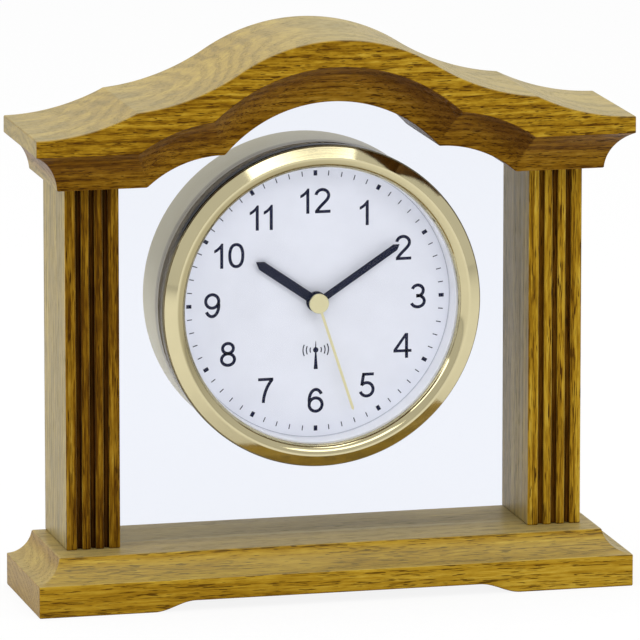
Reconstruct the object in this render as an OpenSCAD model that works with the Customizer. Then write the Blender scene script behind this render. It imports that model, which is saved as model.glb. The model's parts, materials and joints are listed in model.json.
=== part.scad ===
// Wooden table clock. A moulded base and an arched, moulded cornice stand on two fluted pillars,
// and a glass pane between them carries a round clock insert with a two-motor quartz movement.
// Millimetres. The front faces -Y, +X is to the right, and the base stands on z = 0.

/* [Wooden case] */
// Width of the base and of the cornice
case_w = 230; // [224:1:250]
// Depth of the base and of the cornice
case_d = 60; // [56:1:63]
// Depth of the moulded coves, measured in from the faces
cove_inset = 9.8; // [7:0.1:11]
// Height of the upright edge of the base
base_edge_h = 12.2; // [11:0.1:16]
// Height of the base's cove
base_cove_h = 8.5; // [6:0.1:9.5]
// Length of each flat land that the base stands on
foot_w = 44; // [36:1:60]
// Length of the curve that leads from a land to the relieved middle
foot_sweep_w = 16; // [10:1:24]
// Height of the relieved middle above the table
foot_h = 3.8; // [2:0.1:5]

/* [Pillars] */
// Width of a pillar
pillar_w = 20.7; // [18:0.1:24]
// Height of a pillar between base and cornice
pillar_h = 139.1; // [137:0.1:156]
// Distance from the end of the base to a pillar
pillar_inset = 15; // [12:0.1:18]
// Distance from the front of the base to a pillar
pillar_setback = 21.2; // [17:0.1:23]
// Number of flutes on a pillar's front
flute_count = 3; // [1:1:4]
// Width of a flute
flute_w = 2; // [1.2:0.1:2.4]
// Depth of a flute
flute_d = 2.4; // [1.6:0.1:3]
// Rounding of the edges beside a flute
flute_round_r = 0.9; // [0.3:0.1:1.1]

/* [Cornice] */
// Height of the cornice's upright end
cornice_end_h = 20.9; // [19:0.1:23]
// Height of the cornice's cove
cornice_cove_h = 14.5; // [12:0.1:15.5]
// Height of the cusp at each shoulder
shoulder_h = 30; // [28:0.1:32]
// Distance between the two shoulder cusps
shoulder_span = 153.4; // [148:0.1:160]
// Height where the hollow curve turns into the crown
crown_foot_h = 43.3; // [42:0.1:45]
// Distance between the two feet of the crown
crown_span = 75; // [70:0.5:80]
// Height of the crown's top
crown_h = 54.2; // [53:0.1:57]
// Radius of the hollow curve from an end up to the shoulder
shoulder_r = 86; // [84:1:140]
// Radius of the arch under the crown
arch_r = 55; // [54:0.5:57]
// Height of the arch above the cornice's flat underside
arch_rise = 29.6; // [28.5:0.1:31]
// Radius of the lobe on either side of the arch
lobe_r = 43.5; // [42:0.5:45]
// Height of a lobe above the flat underside
lobe_rise = 11; // [10.4:0.1:11.4]
// Distance between the tops of the two lobes
lobe_span = 84; // [83:0.5:86]

/* [Joinery] */
// Radius of the screws that hold the pillars to the base
pillar_screw_r = 2; // [1.5:0.1:2.4]
// Radius of those screws' countersunk heads
pillar_screw_head_r = 4; // [3.2:0.1:4.4]
// Length of those screws
pillar_screw_len = 36; // [30:1:42]
// Distance between the two screws, or dowels, of a pillar
pillar_fixing_pitch = 20; // [14:0.5:24]
// Radius of the dowels between pillar and cornice
dowel_r = 3.5; // [3:0.1:4]
// Length of those dowels
dowel_len = 24; // [18:1:28]

/* [Glass pane] */
// Distance from the front of the base to the pane
pane_setback = 30; // [28:0.1:31]
// Thickness of the pane
pane_t = 4; // [3.5:0.1:5]
// How far the pane enters its grooves
pane_tongue = 3; // [2:0.1:4]

/* [Bezel and drum] */
// Height of the dial's centre above the top of the base
dial_lift = 87.9; // [86:0.1:90]
// Outer radius of the bezel's thin flange
bezel_r = 62; // [61.5:0.1:63.5]
// Thickness of that flange
bezel_flange_t = 2.1; // [1.6:0.1:2.4]
// Radius of the foot of the bezel's bevel
bevel_r = 60.5; // [60:0.1:61.2]
// Height of the foot of the bevel above the pane
bevel_foot_h = 2.8; // [2.5:0.1:3.2]
// Radius of the ridge at the top of the bevel
ridge_r = 56.9; // [56.5:0.1:57.4]
// Height of that ridge above the pane
ridge_h = 6.8; // [6.2:0.1:7.4]
// Radius of the rounded lip inside the ridge
lip_r = 4; // [3.8:0.1:4.2]
// Height of the seat behind the lip that the lens lies against
lens_seat_h = 3.4; // [3:0.1:3.8]
// Outer radius of the sleeve that passes through the pane
sleeve_r = 55.9; // [55.7:0.1:56.4]
// Wall of that sleeve
sleeve_wall = 1.8; // [1.4:0.1:1.9]
// Thickness of the lens
lens_t = 1.6; // [1.4:0.1:1.8]
// Clear space between lens and dial
dial_gap = 8.8; // [8.6:0.1:9.6]
// Wall of the white ring between lens and dial
chapter_wall = 1.4; // [1:0.1:1.6]
// Thickness of the printed dial
dial_t = 0.5; // [0.4:0.1:0.8]
// Thickness of the plate behind the dial
dial_plate_t = 1.2; // [1:0.1:1.6]
// Outer radius of the drum
drum_r = 60.8; // [60.4:0.1:61.4]
// Wall of the drum
drum_wall = 1.6; // [1.2:0.1:1.8]
// Width of the gasket ring, which is also the width that the drum's neck bears on
gasket_w = 2.4; // [2:0.1:2.8]
// Thickness of the drum's inner ledge and of its front shoulder
ledge_t = 1.5; // [1.2:0.1:1.8]
// Thickness of the gasket behind the pane
gasket_t = 0.6; // [0.4:0.1:0.8]
// Thickness of the rear cover
rear_cover_t = 1.4; // [1.2:0.1:1.8]
// How far the back of the movement lies in from the rear cover's outer face
cover_lead = 6.5; // [0:0.1:7]
// How far the drum's rim stands behind the rear cover
rim_proud = 0.8; // [0.8:0.1:1.6]

/* [Movement] */
// Depth of the movement's case
move_d = 18.5; // [17.5:0.1:19]
// Wall of the movement's case
move_wall = 1.4; // [1.2:0.1:1.6]
// Thickness of the movement's front plate
move_plate_t = 1.2; // [1:0.1:1.3]
// Thickness of the battery door and of the plate around it
door_t = 1.6; // [1.6:0.1:1.8]
// Radius of the round cell
cell_r = 7.1; // [6.9:0.05:7.15]
// Length of the cell without its nub
cell_len = 48.7; // [47:0.1:49]
// Radius of the setting buttons
button_r = 2.6; // [2:0.1:3]
// Travel of the setting buttons
button_travel = 0.6; // [0.3:0.05:0.6]

/* [Hands] */
// Length of the hour hand from the centre
hour_hand_len = 28.6; // [24:0.1:32]
// Width of the hour hand
hour_hand_w = 3.6; // [2.5:0.1:4.5]
// Length of the minute hand from the centre
minute_hand_len = 38.1; // [34:0.1:44]
// Width of the minute hand
minute_hand_w = 2.6; // [1.8:0.1:3.5]
// Length of the second hand from the centre
second_hand_len = 44; // [36:0.1:48]
// Width of the second hand
second_hand_w = 1; // [0.6:0.1:1.4]
// Radius of the cap on the second hand
second_cap_r = 3.75; // [3:0.05:4.5]
// Number of whole hours shown
shown_hour_count = 10; // [0:1:11]
// Number of whole minutes shown
shown_minute_count = 9; // [0:1:59]
// Number of seconds shown
shown_second_count = 27; // [0:1:59]

/* [Hidden] */
$fn = 96;

// Clearances, and the overrun of every cut
over = 1;
groove_play = 0.1;
pane_hole_play = 0.3;
thread_play = 0.05;
seat_play = 0.1;
pivot_play = 0.05;
panel_play = 0.15;
blind_play = 0.5;

// Heights of the case
base_h = base_edge_h + base_cove_h;
cornice_z = base_h + pillar_h;
dial_z = base_h + dial_lift;

// Depths, measured back from the front faces of base and cornice
pane_back = pane_setback + pane_t;
lens_front = pane_setback - lens_seat_h;
lens_back = lens_front + lens_t;
dial_front = lens_back + dial_gap;
dial_back = dial_front + dial_t;
move_front = dial_back + dial_plate_t;
move_back = move_front + move_d;
cover_back = move_back + cover_lead;
insert_back = cover_back + rim_proud;
overall_d = max(case_d, insert_back);
front_y = -overall_d / 2;

// Pillars and the glass pane between them
pillar_x = case_w / 2 - pillar_inset - pillar_w / 2;
pillar_d = case_d - pillar_setback;
pillar_mid_d = pillar_setback + pillar_d / 2;
pane_half_w = pillar_x - pillar_w / 2 + pane_tongue;
pane_foot_z = base_h - pane_tongue;
sweep_steps = 12;
screw_recess = 1.5;
recess_share = 0.65;
recess_w_share = 0.2;
recess_h_share = 0.7;

// Coves: the circle that hollows each one out, with its centre from the corner that it cuts away
cove_lean = 4;
base_cove_r = (cove_inset * cove_inset + base_cove_h * base_cove_h) / (2 * base_cove_h);
base_cove_centre = [0, base_cove_h - base_cove_r];
cornice_cove_r = (cove_inset * cove_inset + cornice_cove_h * cornice_cove_h)
    / (2 * (cove_inset * cos(cove_lean) - cornice_cove_h * sin(cove_lean)));
cornice_cove_centre = [cove_inset - cornice_cove_r * cos(cove_lean), -cornice_cove_r * sin(cove_lean)];

// Curves of the cornice's top, in its own outline plane. The hollows bite a hair into the crown, so they meet it
crown_bite = 0.03;
crown_rise = crown_h - crown_foot_h;
crown_r = (pow(crown_span / 2, 2) + pow(crown_rise, 2)) / (2 * crown_rise);
crown_tilt = asin(crown_span / 2 / crown_r);
hollow_foot = [-shoulder_span / 2 + crown_span / 2, shoulder_h - crown_foot_h];
hollow_normal = [-sin(crown_tilt), cos(crown_tilt)];
hollow_r = (hollow_foot * hollow_foot) / (2 * (hollow_foot * hollow_normal));
hollow_centre = [-crown_span / 2, crown_foot_h] + hollow_r * hollow_normal;
crown_side_h = crown_foot_h - crown_bite / 2;

// Centre of the circle through two points, to the left of the line from the first to the second
function chord_centre(a, b, r) =
    let (mid = (a + b) / 2, half = (b - a) / 2, len = norm(half))
    mid + [-half[1], half[0]] / len * sqrt(r * r - len * len);
shoulder_centre = chord_centre([-case_w / 2, cornice_end_h], [-shoulder_span / 2, shoulder_h], shoulder_r);

// Inside of the bezel
sleeve_in_r = sleeve_r - sleeve_wall;
lip_in_r = ridge_r - lip_r;
stack_r = sleeve_in_r - seat_play;
bevel_top_in = 0.3;
neck_r = sleeve_r + pane_hole_play + gasket_w;
neck_step_out = 0.7;
neck_step_r = neck_r + neck_step_out;
neck_step_w = 1.6;
ledge_in_r = 48;
shoulder_round = 0.5;
drum_front = move_front + ledge_t - drum_wall;
cover_front = cover_back - rear_cover_t;
cover_r = drum_r - drum_wall - panel_play;
well_wall = 1.2;
well_lap = 2;
cover_post_r = 3;
cover_post_ring = 53;
cover_screw_r = 1.2;
cover_screw_head_r = 2.3;
cover_screw_head_h = 0.6;
cover_screw_len = 8;
cover_screw_count = 3;

// Movement case, as wide inside as the cell and its two contacts
positive_rise = 1.5;
negative_rise = 2;
nub_r = 2.75;
nub_len = 1;
move_in = (positive_rise + nub_len + cell_len + negative_rise) / 2;
move_w = 2 * (move_in + move_wall);
move_corner_r = 3;
cell_gap = 0.2;
cell_rest = 0.3;
wall_front = move_front + move_plate_t;
wall_back = move_back - door_t;
back_side_h = 4;
part_line = wall_back - back_side_h;
rib_t = 1;
cell_y = -move_in + cell_r + cell_rest;
bay_top = cell_y + cell_r + cell_rest + cell_gap;
cell_d = wall_front + cell_gap + cell_r;
boss_r = 2.2;
boss_inset = 0.8;
boss_x = move_in - boss_r + boss_inset;
boss_y_top = boss_x;
boss_y_low = bay_top + rib_t + boss_r - boss_inset;
move_screw_r = 0.9;
move_screw_head_r = 1.7;
move_screw_head_h = 1;
bush_r = 3;
bush_rise = 0.4;

// Nested arbors at the centre, from the inside out
second_arbor_r = 0.45;
minute_pipe_in = second_arbor_r + pivot_play;
minute_pipe_r = 1;
hour_pipe_in = minute_pipe_r + pivot_play;
hour_pipe_r = 1.75;
bush_in_r = hour_pipe_r + pivot_play;
pin_r = 0.35;
pin_seat = 0.8;
pin_boss_r = 1.3;
pin_boss_h = 2.4;
pin_hole_d = 1.9;
pin_end_play = 0.4;
spindle_r = 0.65;
spindle_play = 0.1;

// Gear planes: the depth of each wheel's front face, and the wheels' thickness
wheel_t = 0.8;
plane_pitch = 1.3;
wheel_gap = 0.2;
collar_r = 1.4;
collar_t = 0.3;
stator_gap = 1.1;
hour_plane = wall_front + wheel_gap;
cannon_plane = hour_plane + plane_pitch;
minute_plane = cannon_plane + plane_pitch;
minutes_mid_plane = minute_plane + plane_pitch;
second_plane = minutes_mid_plane + plane_pitch + collar_t;
seconds_mid_plane = second_plane + plane_pitch;
stator_plane = seconds_mid_plane + wheel_t + stator_gap;
stator_t = 1;

// Teeth: modules, counts, profile shifts and centre distances
pressure_deg = 20;
drive_module = 0.27;
drive_pinion_teeth = 10;
drive_wheel_teeth = 50;
drive_shift_share = 0.41;
rotor_module = 0.2;
rotor_pinion_teeth = 8;
rotor_wheel_teeth = 48;
rotor_shift_share = 0.53;
cannon_module = 0.25;
cannon_teeth = 12;
change_wheel_teeth = 36;
cannon_shift_share = 0.3;
change_module = 0.24;
change_pinion_teeth = 10;
hour_wheel_teeth = 40;
change_shift_share = 0.41;
addendum_share = 0.85;
root_share = 1.25;
backlash_share = 0.15;
flank_steps = 3;
hole_ring_share = 0.59;
hole_share = 0.19;
drive_dist = drive_module * (drive_pinion_teeth + drive_wheel_teeth) / 2;
rotor_dist = rotor_module * (rotor_pinion_teeth + rotor_wheel_teeth) / 2;
change_dist = cannon_module * (cannon_teeth + change_wheel_teeth) / 2;
mid_x = drive_dist;
rotor_x = mid_x + rotor_dist;

// Motors: stator, core and coil of one side
magnet_r = 2.2;
magnet_h = 2.2;
stator_hole_r = 2.7;
stator_web = 1.3;
stator_wall_gap = 0.5;
ear_h = 4;
stator_half_h = 4;
stator_in_x = rotor_x - stator_hole_r - stator_web;
stator_out_x = move_in - stator_wall_gap;
ear_w = 3.6;
core_w = 3;
core_y = stator_half_h + ear_h;
coil_r = 3;
coil_gap = 0.3;
winding_share = 0.85;
flange_t = 0.8;
stator_post_r = 1.1;
stator_post_in = 0.4;

// Circuit board, aerial and their supports
board_t = 1;
board_back_gap = 3.2;
board_side_gap = 0.5;
board_edge_gap = 0.8;
board_post_r = 1.4;
board_post_in = [2.4, 1.8];
board_front = wall_back - board_back_gap;
board_half_w = boss_x - boss_r - board_side_gap;
board_low_y = core_y + coil_r + board_edge_gap;
board_top_y = move_in - board_edge_gap;
board_post_x = board_half_w - board_post_in[0];
board_post_y = board_low_y + board_post_in[1];
switch_w = 4;
chip_w = 6;
chip_h = 0.9;
chip_in = 1;
quartz_r = 0.95;
quartz_len = 6;
quartz_in = 0.6;
aerial_r = 4;
aerial_len = 42;
aerial_coil_r = 5;
aerial_coil_len = 24;
aerial_gap = 0.4;
aerial_y = move_in - aerial_coil_r - aerial_gap;
aerial_d = wall_front + aerial_coil_r + aerial_gap;
cradle_t = 3;
cradle_x = 17;
cradle_rim_share = 0.25;
cradle_play = 0.05;

// Buttons and battery door
button_x = 14;
button_y = 16.5;
button_proud = 0.7;
button_flange_w = 0.7;
button_flange_r = button_r + button_flange_w;
button_flange_t = 0.7;
switch_h = board_back_gap - board_t - button_flange_t - button_travel - pivot_play;
door_pin_r = 0.45;
door_pin_len = 0.8;
door_trim = 0.1;
door_low_y = cell_y - cell_r + door_trim;
door_top_y = cell_y + cell_r - door_trim;
door_pivot_y = door_low_y + door_t / 2;
notch_w = 8;
notch_d = 1;
contact_t = 0.4;
contact_w = 8;
cell_end_x = move_in - positive_rise;
cell_foot_x = cell_end_x - nub_len - cell_len;
door_half_w = cell_end_x - door_trim;

// Hands: hubs and the depths that they stand at
hand_t = 0.5;
hour_hub_r = 3.9;
hour_hub_t = 1.2;
minute_hub_r = 3.1;
minute_hub_t = 1;
second_hub_r = 1.2;
second_hub_t = 1;
second_hand_t = 0.3;
second_cap_t = 1.3;
hand_gap = 0.6;
second_hand_gap = 0.4;
bush_gap = 0.5;
pipe_proud = 0.1;
bush_front = dial_front - bush_rise;
hour_hand_back = bush_front - bush_gap;
minute_hand_back = hour_hand_back - hour_hub_t - hand_gap;
second_hand_back = minute_hand_back - minute_hub_t - second_hand_gap;
tip_share = 0.75;
second_turn = shown_second_count * 6;
minute_turn = (shown_minute_count + shown_second_count / 60) * 6;
hour_turn = (shown_hour_count + minute_turn / 360) * 30;

// Places children at the dial's centre and a depth behind the case's front, their +Z to the viewer, +Y up
module face(depth) {
    translate([0, front_y + depth, dial_z]) rotate([90, 0, 0]) children();
}

// A flat drawing made solid between two depths
module slab(from_depth, to_depth) {
    face(to_depth) linear_extrude(height = to_depth - from_depth) children();
}

// A profile turned about the dial's axis, its heights measured forward from a depth
module turned(depth) {
    face(depth) rotate_extrude() children();
}

// A flat drawing seen from the front, made solid between two depths of the case
module front_slab(from_depth, to_depth) {
    translate([0, front_y + to_depth, 0]) rotate([90, 0, 0])
        linear_extrude(height = to_depth - from_depth) children();
}

module ring(out_r, in_r) {
    difference() {
        circle(r = out_r);
        circle(r = in_r);
    }
}

module box_2d(from, to) {
    translate(from) square(to - from);
}

module rounded(w, h, r) {
    square([w - 2 * r, h], center = true);
    square([w, h - 2 * r], center = true);
    for (x = [-1, 1], y = [-1, 1])
        translate([x * (w / 2 - r), y * (h / 2 - r)]) circle(r = r);
}

// Wooden case

// Straight coves along the front and both ends, where up is 1 over a cut corner and -1 under it
module straight_coves(edge_z, r, centre, up) {
    translate([0, front_y + centre[0], edge_z + up * centre[1]]) rotate([0, 90, 0])
        cylinder(h = case_w + 2 * over, r = r, center = true);
    for (side = [-1, 1])
        translate([side * (case_w / 2 - centre[0]), front_y + case_d / 2, edge_z + up * centre[1]])
            rotate([90, 0, 0]) cylinder(h = case_d + 2 * over, r = r, center = true);
}

// Half of the smooth step from a land up to the relieved middle
function sweep_points(steps) = [for (i = [0:steps])
    [-case_w / 2 + foot_w + foot_sweep_w * i / steps, foot_h * (1 - cos(180 * i / steps)) / 2]];

module base_relief() {
    left = sweep_points(sweep_steps);
    right = [for (i = [len(left) - 1:-1:0]) [-left[i][0], left[i][1]]];
    front_slab(-over, case_d + over)
        polygon(concat([[left[0][0], -over]], left, right, [[right[len(right) - 1][0], -over]]));
}

module pane_outline(grow) {
    half_w = pane_half_w + grow;
    intersection() {
        box_2d([-half_w, pane_foot_z], [half_w, cornice_z + crown_h]);
        union() {
            box_2d([-half_w, pane_foot_z], [half_w, cornice_z + pane_tongue + grow]);
            soffit_circles(pane_tongue + grow);
        }
    }
}

module soffit_circles(grow) {
    translate([0, cornice_z + arch_rise - arch_r]) circle(r = arch_r + grow);
    for (side = [-1, 1])
        translate([side * lobe_span / 2, cornice_z + lobe_rise - lobe_r]) circle(r = lobe_r + grow);
}

module pane_groove() {
    front_slab(pane_setback - groove_play, pane_back + groove_play) pane_outline(groove_play);
}

module at_pillar_fixings() {
    for (side = [-1, 1], k = [-1, 1])
        translate([side * pillar_x, front_y + pillar_mid_d + k * pillar_fixing_pitch / 2, 0]) children();
}

module pillar_screw(grow) {
    translate([0, 0, screw_recess]) {
        cylinder(h = pillar_screw_head_r - pillar_screw_r, r1 = pillar_screw_head_r, r2 = pillar_screw_r);
        cylinder(h = pillar_screw_len - 2 * pillar_screw_r, r = pillar_screw_r + grow);
        translate([0, 0, pillar_screw_len - 2 * pillar_screw_r])
            cylinder(h = 2 * pillar_screw_r, r1 = pillar_screw_r, r2 = 0);
    }
}

module cross_recess(head_r) {
    for (a = [0, 90])
        rotate(a) cube([head_r, head_r * recess_w_share, head_r * recess_h_share], center = true);
}

module base() {
    color("#a97e2e") difference() {
        translate([-case_w / 2, front_y, 0]) cube([case_w, case_d, base_h]);
        straight_coves(base_h, base_cove_r, base_cove_centre, -1);
        base_relief();
        pane_groove();
        at_pillar_fixings() {
            translate([0, 0, -over]) cylinder(h = screw_recess + over, r = pillar_screw_head_r);
            pillar_screw(0);
        }
    }
}

module pillar_section() {
    pitch = pillar_w / (flute_count + 1);
    difference() {
        box_2d([-pillar_w / 2, 0], [pillar_w / 2, pillar_d]);
        for (k = [1:flute_count]) translate([-pillar_w / 2 + k * pitch, 0]) {
            translate([0, flute_d - flute_w / 2]) circle(d = flute_w);
            box_2d([-flute_w / 2, -over], [flute_w / 2, flute_d - flute_w / 2]);
            difference() {
                box_2d([-flute_w / 2 - flute_round_r, -over], [flute_w / 2 + flute_round_r, flute_round_r]);
                for (s = [-1, 1])
                    translate([s * (flute_w / 2 + flute_round_r), flute_round_r]) circle(r = flute_round_r);
            }
        }
    }
}

module pillar(side) {
    color("#8a6222") difference() {
        translate([side * pillar_x, front_y + pillar_setback, base_h])
            linear_extrude(height = pillar_h) pillar_section();
        pane_groove();
        at_pillar_fixings() {
            pillar_screw(0);
            dowel(blind_play);
        }
    }
}

module left_pillar() {
    pillar(-1);
}

module right_pillar() {
    pillar(1);
}

module dowel(spare) {
    translate([0, 0, cornice_z - dowel_len / 2 - spare]) cylinder(h = dowel_len + 2 * spare, r = dowel_r);
}

module cornice_outline() {
    difference() {
        union() {
            polygon([[-case_w / 2, 0], [case_w / 2, 0], [case_w / 2, cornice_end_h + over],
                [crown_span / 2, crown_side_h], [-crown_span / 2, crown_side_h],
                [-case_w / 2, cornice_end_h + over]]);
            intersection() {
                translate([0, crown_h - crown_r]) circle(r = crown_r, $fn = 360);
                box_2d([-case_w / 2, over], [case_w / 2, crown_h + over]);
            }
        }
        for (side = [0, 1]) mirror([side, 0]) {
            translate(hollow_centre) circle(r = hollow_r + crown_bite, $fn = 720);
            translate(shoulder_centre) circle(r = shoulder_r, $fn = 720);
        }
    }
}

// The cove that runs round an arch or a lobe of the underside
module round_cove(centre_x, centre_h, r) {
    translate([centre_x, front_y + cornice_cove_centre[0], cornice_z + centre_h]) rotate([90, 0, 0])
        rotate_extrude() translate([r + cornice_cove_centre[1], 0]) circle(r = cornice_cove_r);
}

module arched_board() {
    difference() {
        front_slab(0, case_d) translate([0, cornice_z]) cornice_outline();
        front_slab(-over, case_d + over) soffit_circles(0);
    }
}

module moulded_board() {
    difference() {
        difference() {
            arched_board();
            round_cove(0, arch_rise - arch_r, arch_r);
            for (side = [-1, 1])
                round_cove(side * lobe_span / 2, lobe_rise - lobe_r, lobe_r);
        }
        straight_coves(cornice_z, cornice_cove_r, cornice_cove_centre, 1);
    }
}

module cornice() {
    color("#a97e2e") difference() {
        moulded_board();
        pane_groove();
        at_pillar_fixings() dowel(blind_play);
    }
}

module pillar_screws() {
    color("silver") at_pillar_fixings() difference() {
        pillar_screw(0);
        translate([0, 0, screw_recess]) cross_recess(pillar_screw_head_r);
    }
}

module cornice_dowels() {
    color("#c9a66b") at_pillar_fixings() dowel(0);
}

module glass_pane() {
    color([0.85, 0.88, 0.92, 0.5]) difference() {
        front_slab(pane_setback, pane_back) pane_outline(0);
        slab(pane_setback - over, pane_back + over) circle(r = sleeve_r + pane_hole_play);
    }
}

// Bezel, lens, dial and drum

module bezel() {
    color("#d4b45a") turned(pane_setback) {
        box_2d([sleeve_in_r, 0], [bezel_r, bezel_flange_t]);
        box_2d([sleeve_in_r, 0], [bevel_r, bevel_foot_h]);
        box_2d([sleeve_in_r, -(move_front - pane_setback - seat_play)], [sleeve_r, lens_seat_h]);
        polygon([[ridge_r - lip_r / 2, 0], [bevel_r, 0], [bevel_r, bevel_foot_h],
            [ridge_r + bevel_top_in, ridge_h], [ridge_r, ridge_h], [ridge_r, lens_seat_h],
            [ridge_r - lip_r / 2, lens_seat_h]]);
        intersection() {
            translate([ridge_r, ridge_h - lip_r]) circle(r = lip_r);
            box_2d([lip_in_r - over, lens_seat_h], [ridge_r, ridge_h]);
        }
    }
}

module lens() {
    color([0.9, 0.93, 0.95, 0.3]) slab(lens_front, lens_back) circle(r = stack_r);
}

module chapter_ring() {
    color("white") slab(lens_back, dial_front) ring(stack_r, stack_r - chapter_wall);
}

module dial() {
    color("#f4f4f8") slab(dial_front, dial_back) ring(stack_r, bush_r + seat_play);
}

module dial_plate() {
    color("#e0e0e0") slab(dial_back, move_front) difference() {
        ring(stack_r, bush_r + seat_play);
        screw_places() circle(r = move_screw_r);
    }
}

module pane_gasket() {
    color("#1c1c1c") slab(pane_back, pane_back + gasket_t) ring(neck_r, neck_r - gasket_w);
}

// Profile of the drum, its heights measured forward from the rear rim
module drum_profile() {
    neck_h = insert_back - pane_back - gasket_t;
    ledge_h = insert_back - move_front;
    front_h = insert_back - drum_front;
    box_2d([sleeve_r + thread_play, ledge_h - ledge_t], [neck_r, neck_h]);
    box_2d([neck_r - over, ledge_h - ledge_t], [neck_step_r, neck_h - neck_step_w]);
    box_2d([ledge_in_r, ledge_h - ledge_t], [neck_r, ledge_h]);
    box_2d([neck_r, ledge_h - ledge_t], [drum_r - shoulder_round, front_h]);
    translate([drum_r - shoulder_round, front_h - shoulder_round]) circle(r = shoulder_round);
    box_2d([drum_r - drum_wall, 0], [drum_r, front_h - shoulder_round]);
}

module at_cover_screws() {
    for (k = [0:cover_screw_count - 1])
        rotate(90 + k * 360 / cover_screw_count) translate([cover_post_ring, 0]) children();
}

module drum() {
    color("#a9a490") difference() {
        union() {
            turned(insert_back) drum_profile();
            slab(move_front + ledge_t / 2, cover_front) at_cover_screws() circle(r = cover_post_r);
        }
        slab(cover_front - cover_screw_len, cover_front + over) at_cover_screws() circle(r = cover_screw_r);
    }
}

// Rear cover, with a square well that leads in to the back of the movement
module rear_cover() {
    opening = move_w + 2 * panel_play;
    well_w = opening + 2 * well_wall;
    color("#202224") difference() {
        union() {
            slab(cover_front, cover_back) circle(r = cover_r);
            slab(move_back - well_lap, cover_back) rounded(well_w, well_w, move_corner_r + well_wall);
        }
        slab(move_back - well_lap - over, cover_back + over) rounded(opening, opening, move_corner_r);
        slab(cover_front - over, cover_back + over) at_cover_screws() circle(r = cover_screw_r);
    }
}

module cover_screws() {
    screw_front = cover_front - cover_screw_len + blind_play;
    head_back = cover_back + cover_screw_head_h;
    color("silver") difference() {
        union() {
            slab(screw_front, cover_back) at_cover_screws() circle(r = cover_screw_r);
            slab(cover_back, head_back) at_cover_screws() circle(r = cover_screw_head_r);
        }
        face(head_back) at_cover_screws() cross_recess(cover_screw_head_r * recess_share);
    }
}

// Movement case

module screw_places() {
    for (x = [-1, 1], y = [boss_y_low, boss_y_top]) translate([x * boss_x, y]) children();
}

module stator_posts() {
    for (side = [-1, 1]) {
        for (y = [-1, 1])
            translate([side * (stator_out_x - stator_post_r - stator_post_in), y * stator_half_h / 2]) children();
        translate([side * (stator_in_x + ear_w / 2), core_y]) children();
    }
}

module pin_places(back) {
    for (side = [-1, 1], x = [mid_x, rotor_x]) translate([side * x, 0]) children();
    if (!back) translate([0, change_dist]) children();
}

module movement_front() {
    color("#26282b") difference() {
        union() {
            slab(move_front, wall_front) rounded(move_w, move_w, move_corner_r);
            slab(move_front, part_line) difference() {
                rounded(move_w, move_w, move_corner_r);
                rounded(2 * move_in, 2 * move_in, move_corner_r - move_wall);
            }
            slab(move_front, part_line) {
                box_2d([-move_in - over / 2, bay_top], [move_in + over / 2, bay_top + rib_t]);
                screw_places() circle(r = boss_r);
            }
            slab(move_front, stator_plane) stator_posts() circle(r = stator_post_r);
            slab(move_front, board_front) for (s = [-1, 1])
                translate([s * board_post_x, board_post_y]) circle(r = board_post_r);
            for (s = [-1, 1]) slab(move_front, aerial_d - aerial_r * cradle_rim_share)
                translate([s * cradle_x, aerial_y]) square([cradle_t, 2 * aerial_r], center = true);
            slab(bush_front, wall_front) circle(r = bush_r);
        }
        slab(bush_front - over, wall_front + over) circle(r = bush_in_r);
        slab(wall_front - pin_seat, wall_front + over) pin_places(false) circle(r = pin_r);
        slab(move_front - over, part_line + over) screw_places() circle(r = move_screw_r);
        aerial_bar(aerial_r + cradle_play, aerial_len + over);
    }
}

module aerial_bar(r, length) {
    face(aerial_d) translate([0, aerial_y, 0]) rotate([0, 90, 0])
        cylinder(h = length, r = r, center = true);
}

module movement_back() {
    pivot_hole = door_pin_len + door_half_w + panel_play;
    color("#2b2d30") difference() {
        union() {
            slab(wall_back, move_back) rounded(move_w, move_w, move_corner_r);
            slab(part_line, move_back) difference() {
                rounded(move_w, move_w, move_corner_r);
                rounded(2 * move_in, 2 * move_in, move_corner_r - move_wall);
            }
            slab(part_line, move_back) screw_places() circle(r = boss_r);
            slab(wall_back - pin_boss_h, move_back) {
                circle(r = pin_boss_r);
                pin_places(true) circle(r = pin_boss_r);
            }
        }
        slab(wall_back - pin_boss_h - over, wall_back - pin_boss_h + pin_hole_d) {
            circle(r = second_arbor_r + pivot_play);
            pin_places(true) circle(r = pin_r);
        }
        slab(wall_back - over, move_back + over)
            box_2d([-door_half_w - panel_play, door_low_y - panel_play],
                [door_half_w + panel_play, door_top_y + panel_play]);
        face(move_back - door_t / 2) translate([0, door_pivot_y, 0]) rotate([0, 90, 0])
            cylinder(h = 2 * pivot_hole, r = door_pin_r + pivot_play, center = true);
        slab(wall_back - over, move_back + over) for (s = [-1, 1])
            translate([s * button_x, button_y]) circle(r = button_r + pivot_play);
        slab(part_line - over, move_back + over) screw_places() circle(r = move_screw_r);
        slab(move_back - move_screw_head_h, move_back + over) screw_places() circle(r = move_screw_head_r);
    }
}

module movement_screws() {
    color("silver") difference() {
        union() {
            slab(dial_back, move_back - move_screw_head_h) screw_places() circle(r = move_screw_r);
            slab(move_back - move_screw_head_h, move_back) screw_places() circle(r = move_screw_head_r);
        }
        face(move_back) screw_places() cross_recess(move_screw_head_r * recess_share);
    }
}

module wheel_pins() {
    change_end = minute_plane - wheel_gap;
    color("silver") {
        slab(wall_front - pin_seat, wall_back - pin_boss_h + pin_hole_d - pin_end_play)
            pin_places(true) circle(r = pin_r);
        slab(wall_front - pin_seat, change_end) translate([0, change_dist]) circle(r = pin_r);
    }
}

// Wheels and pinions

function involute_deg(base_r, r) = r <= base_r ? 0
    : let (t = sqrt(pow(r / base_r, 2) - 1)) t * 180 / PI - atan(t);

function polar(r, a) = [r * cos(a), r * sin(a)];

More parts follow.
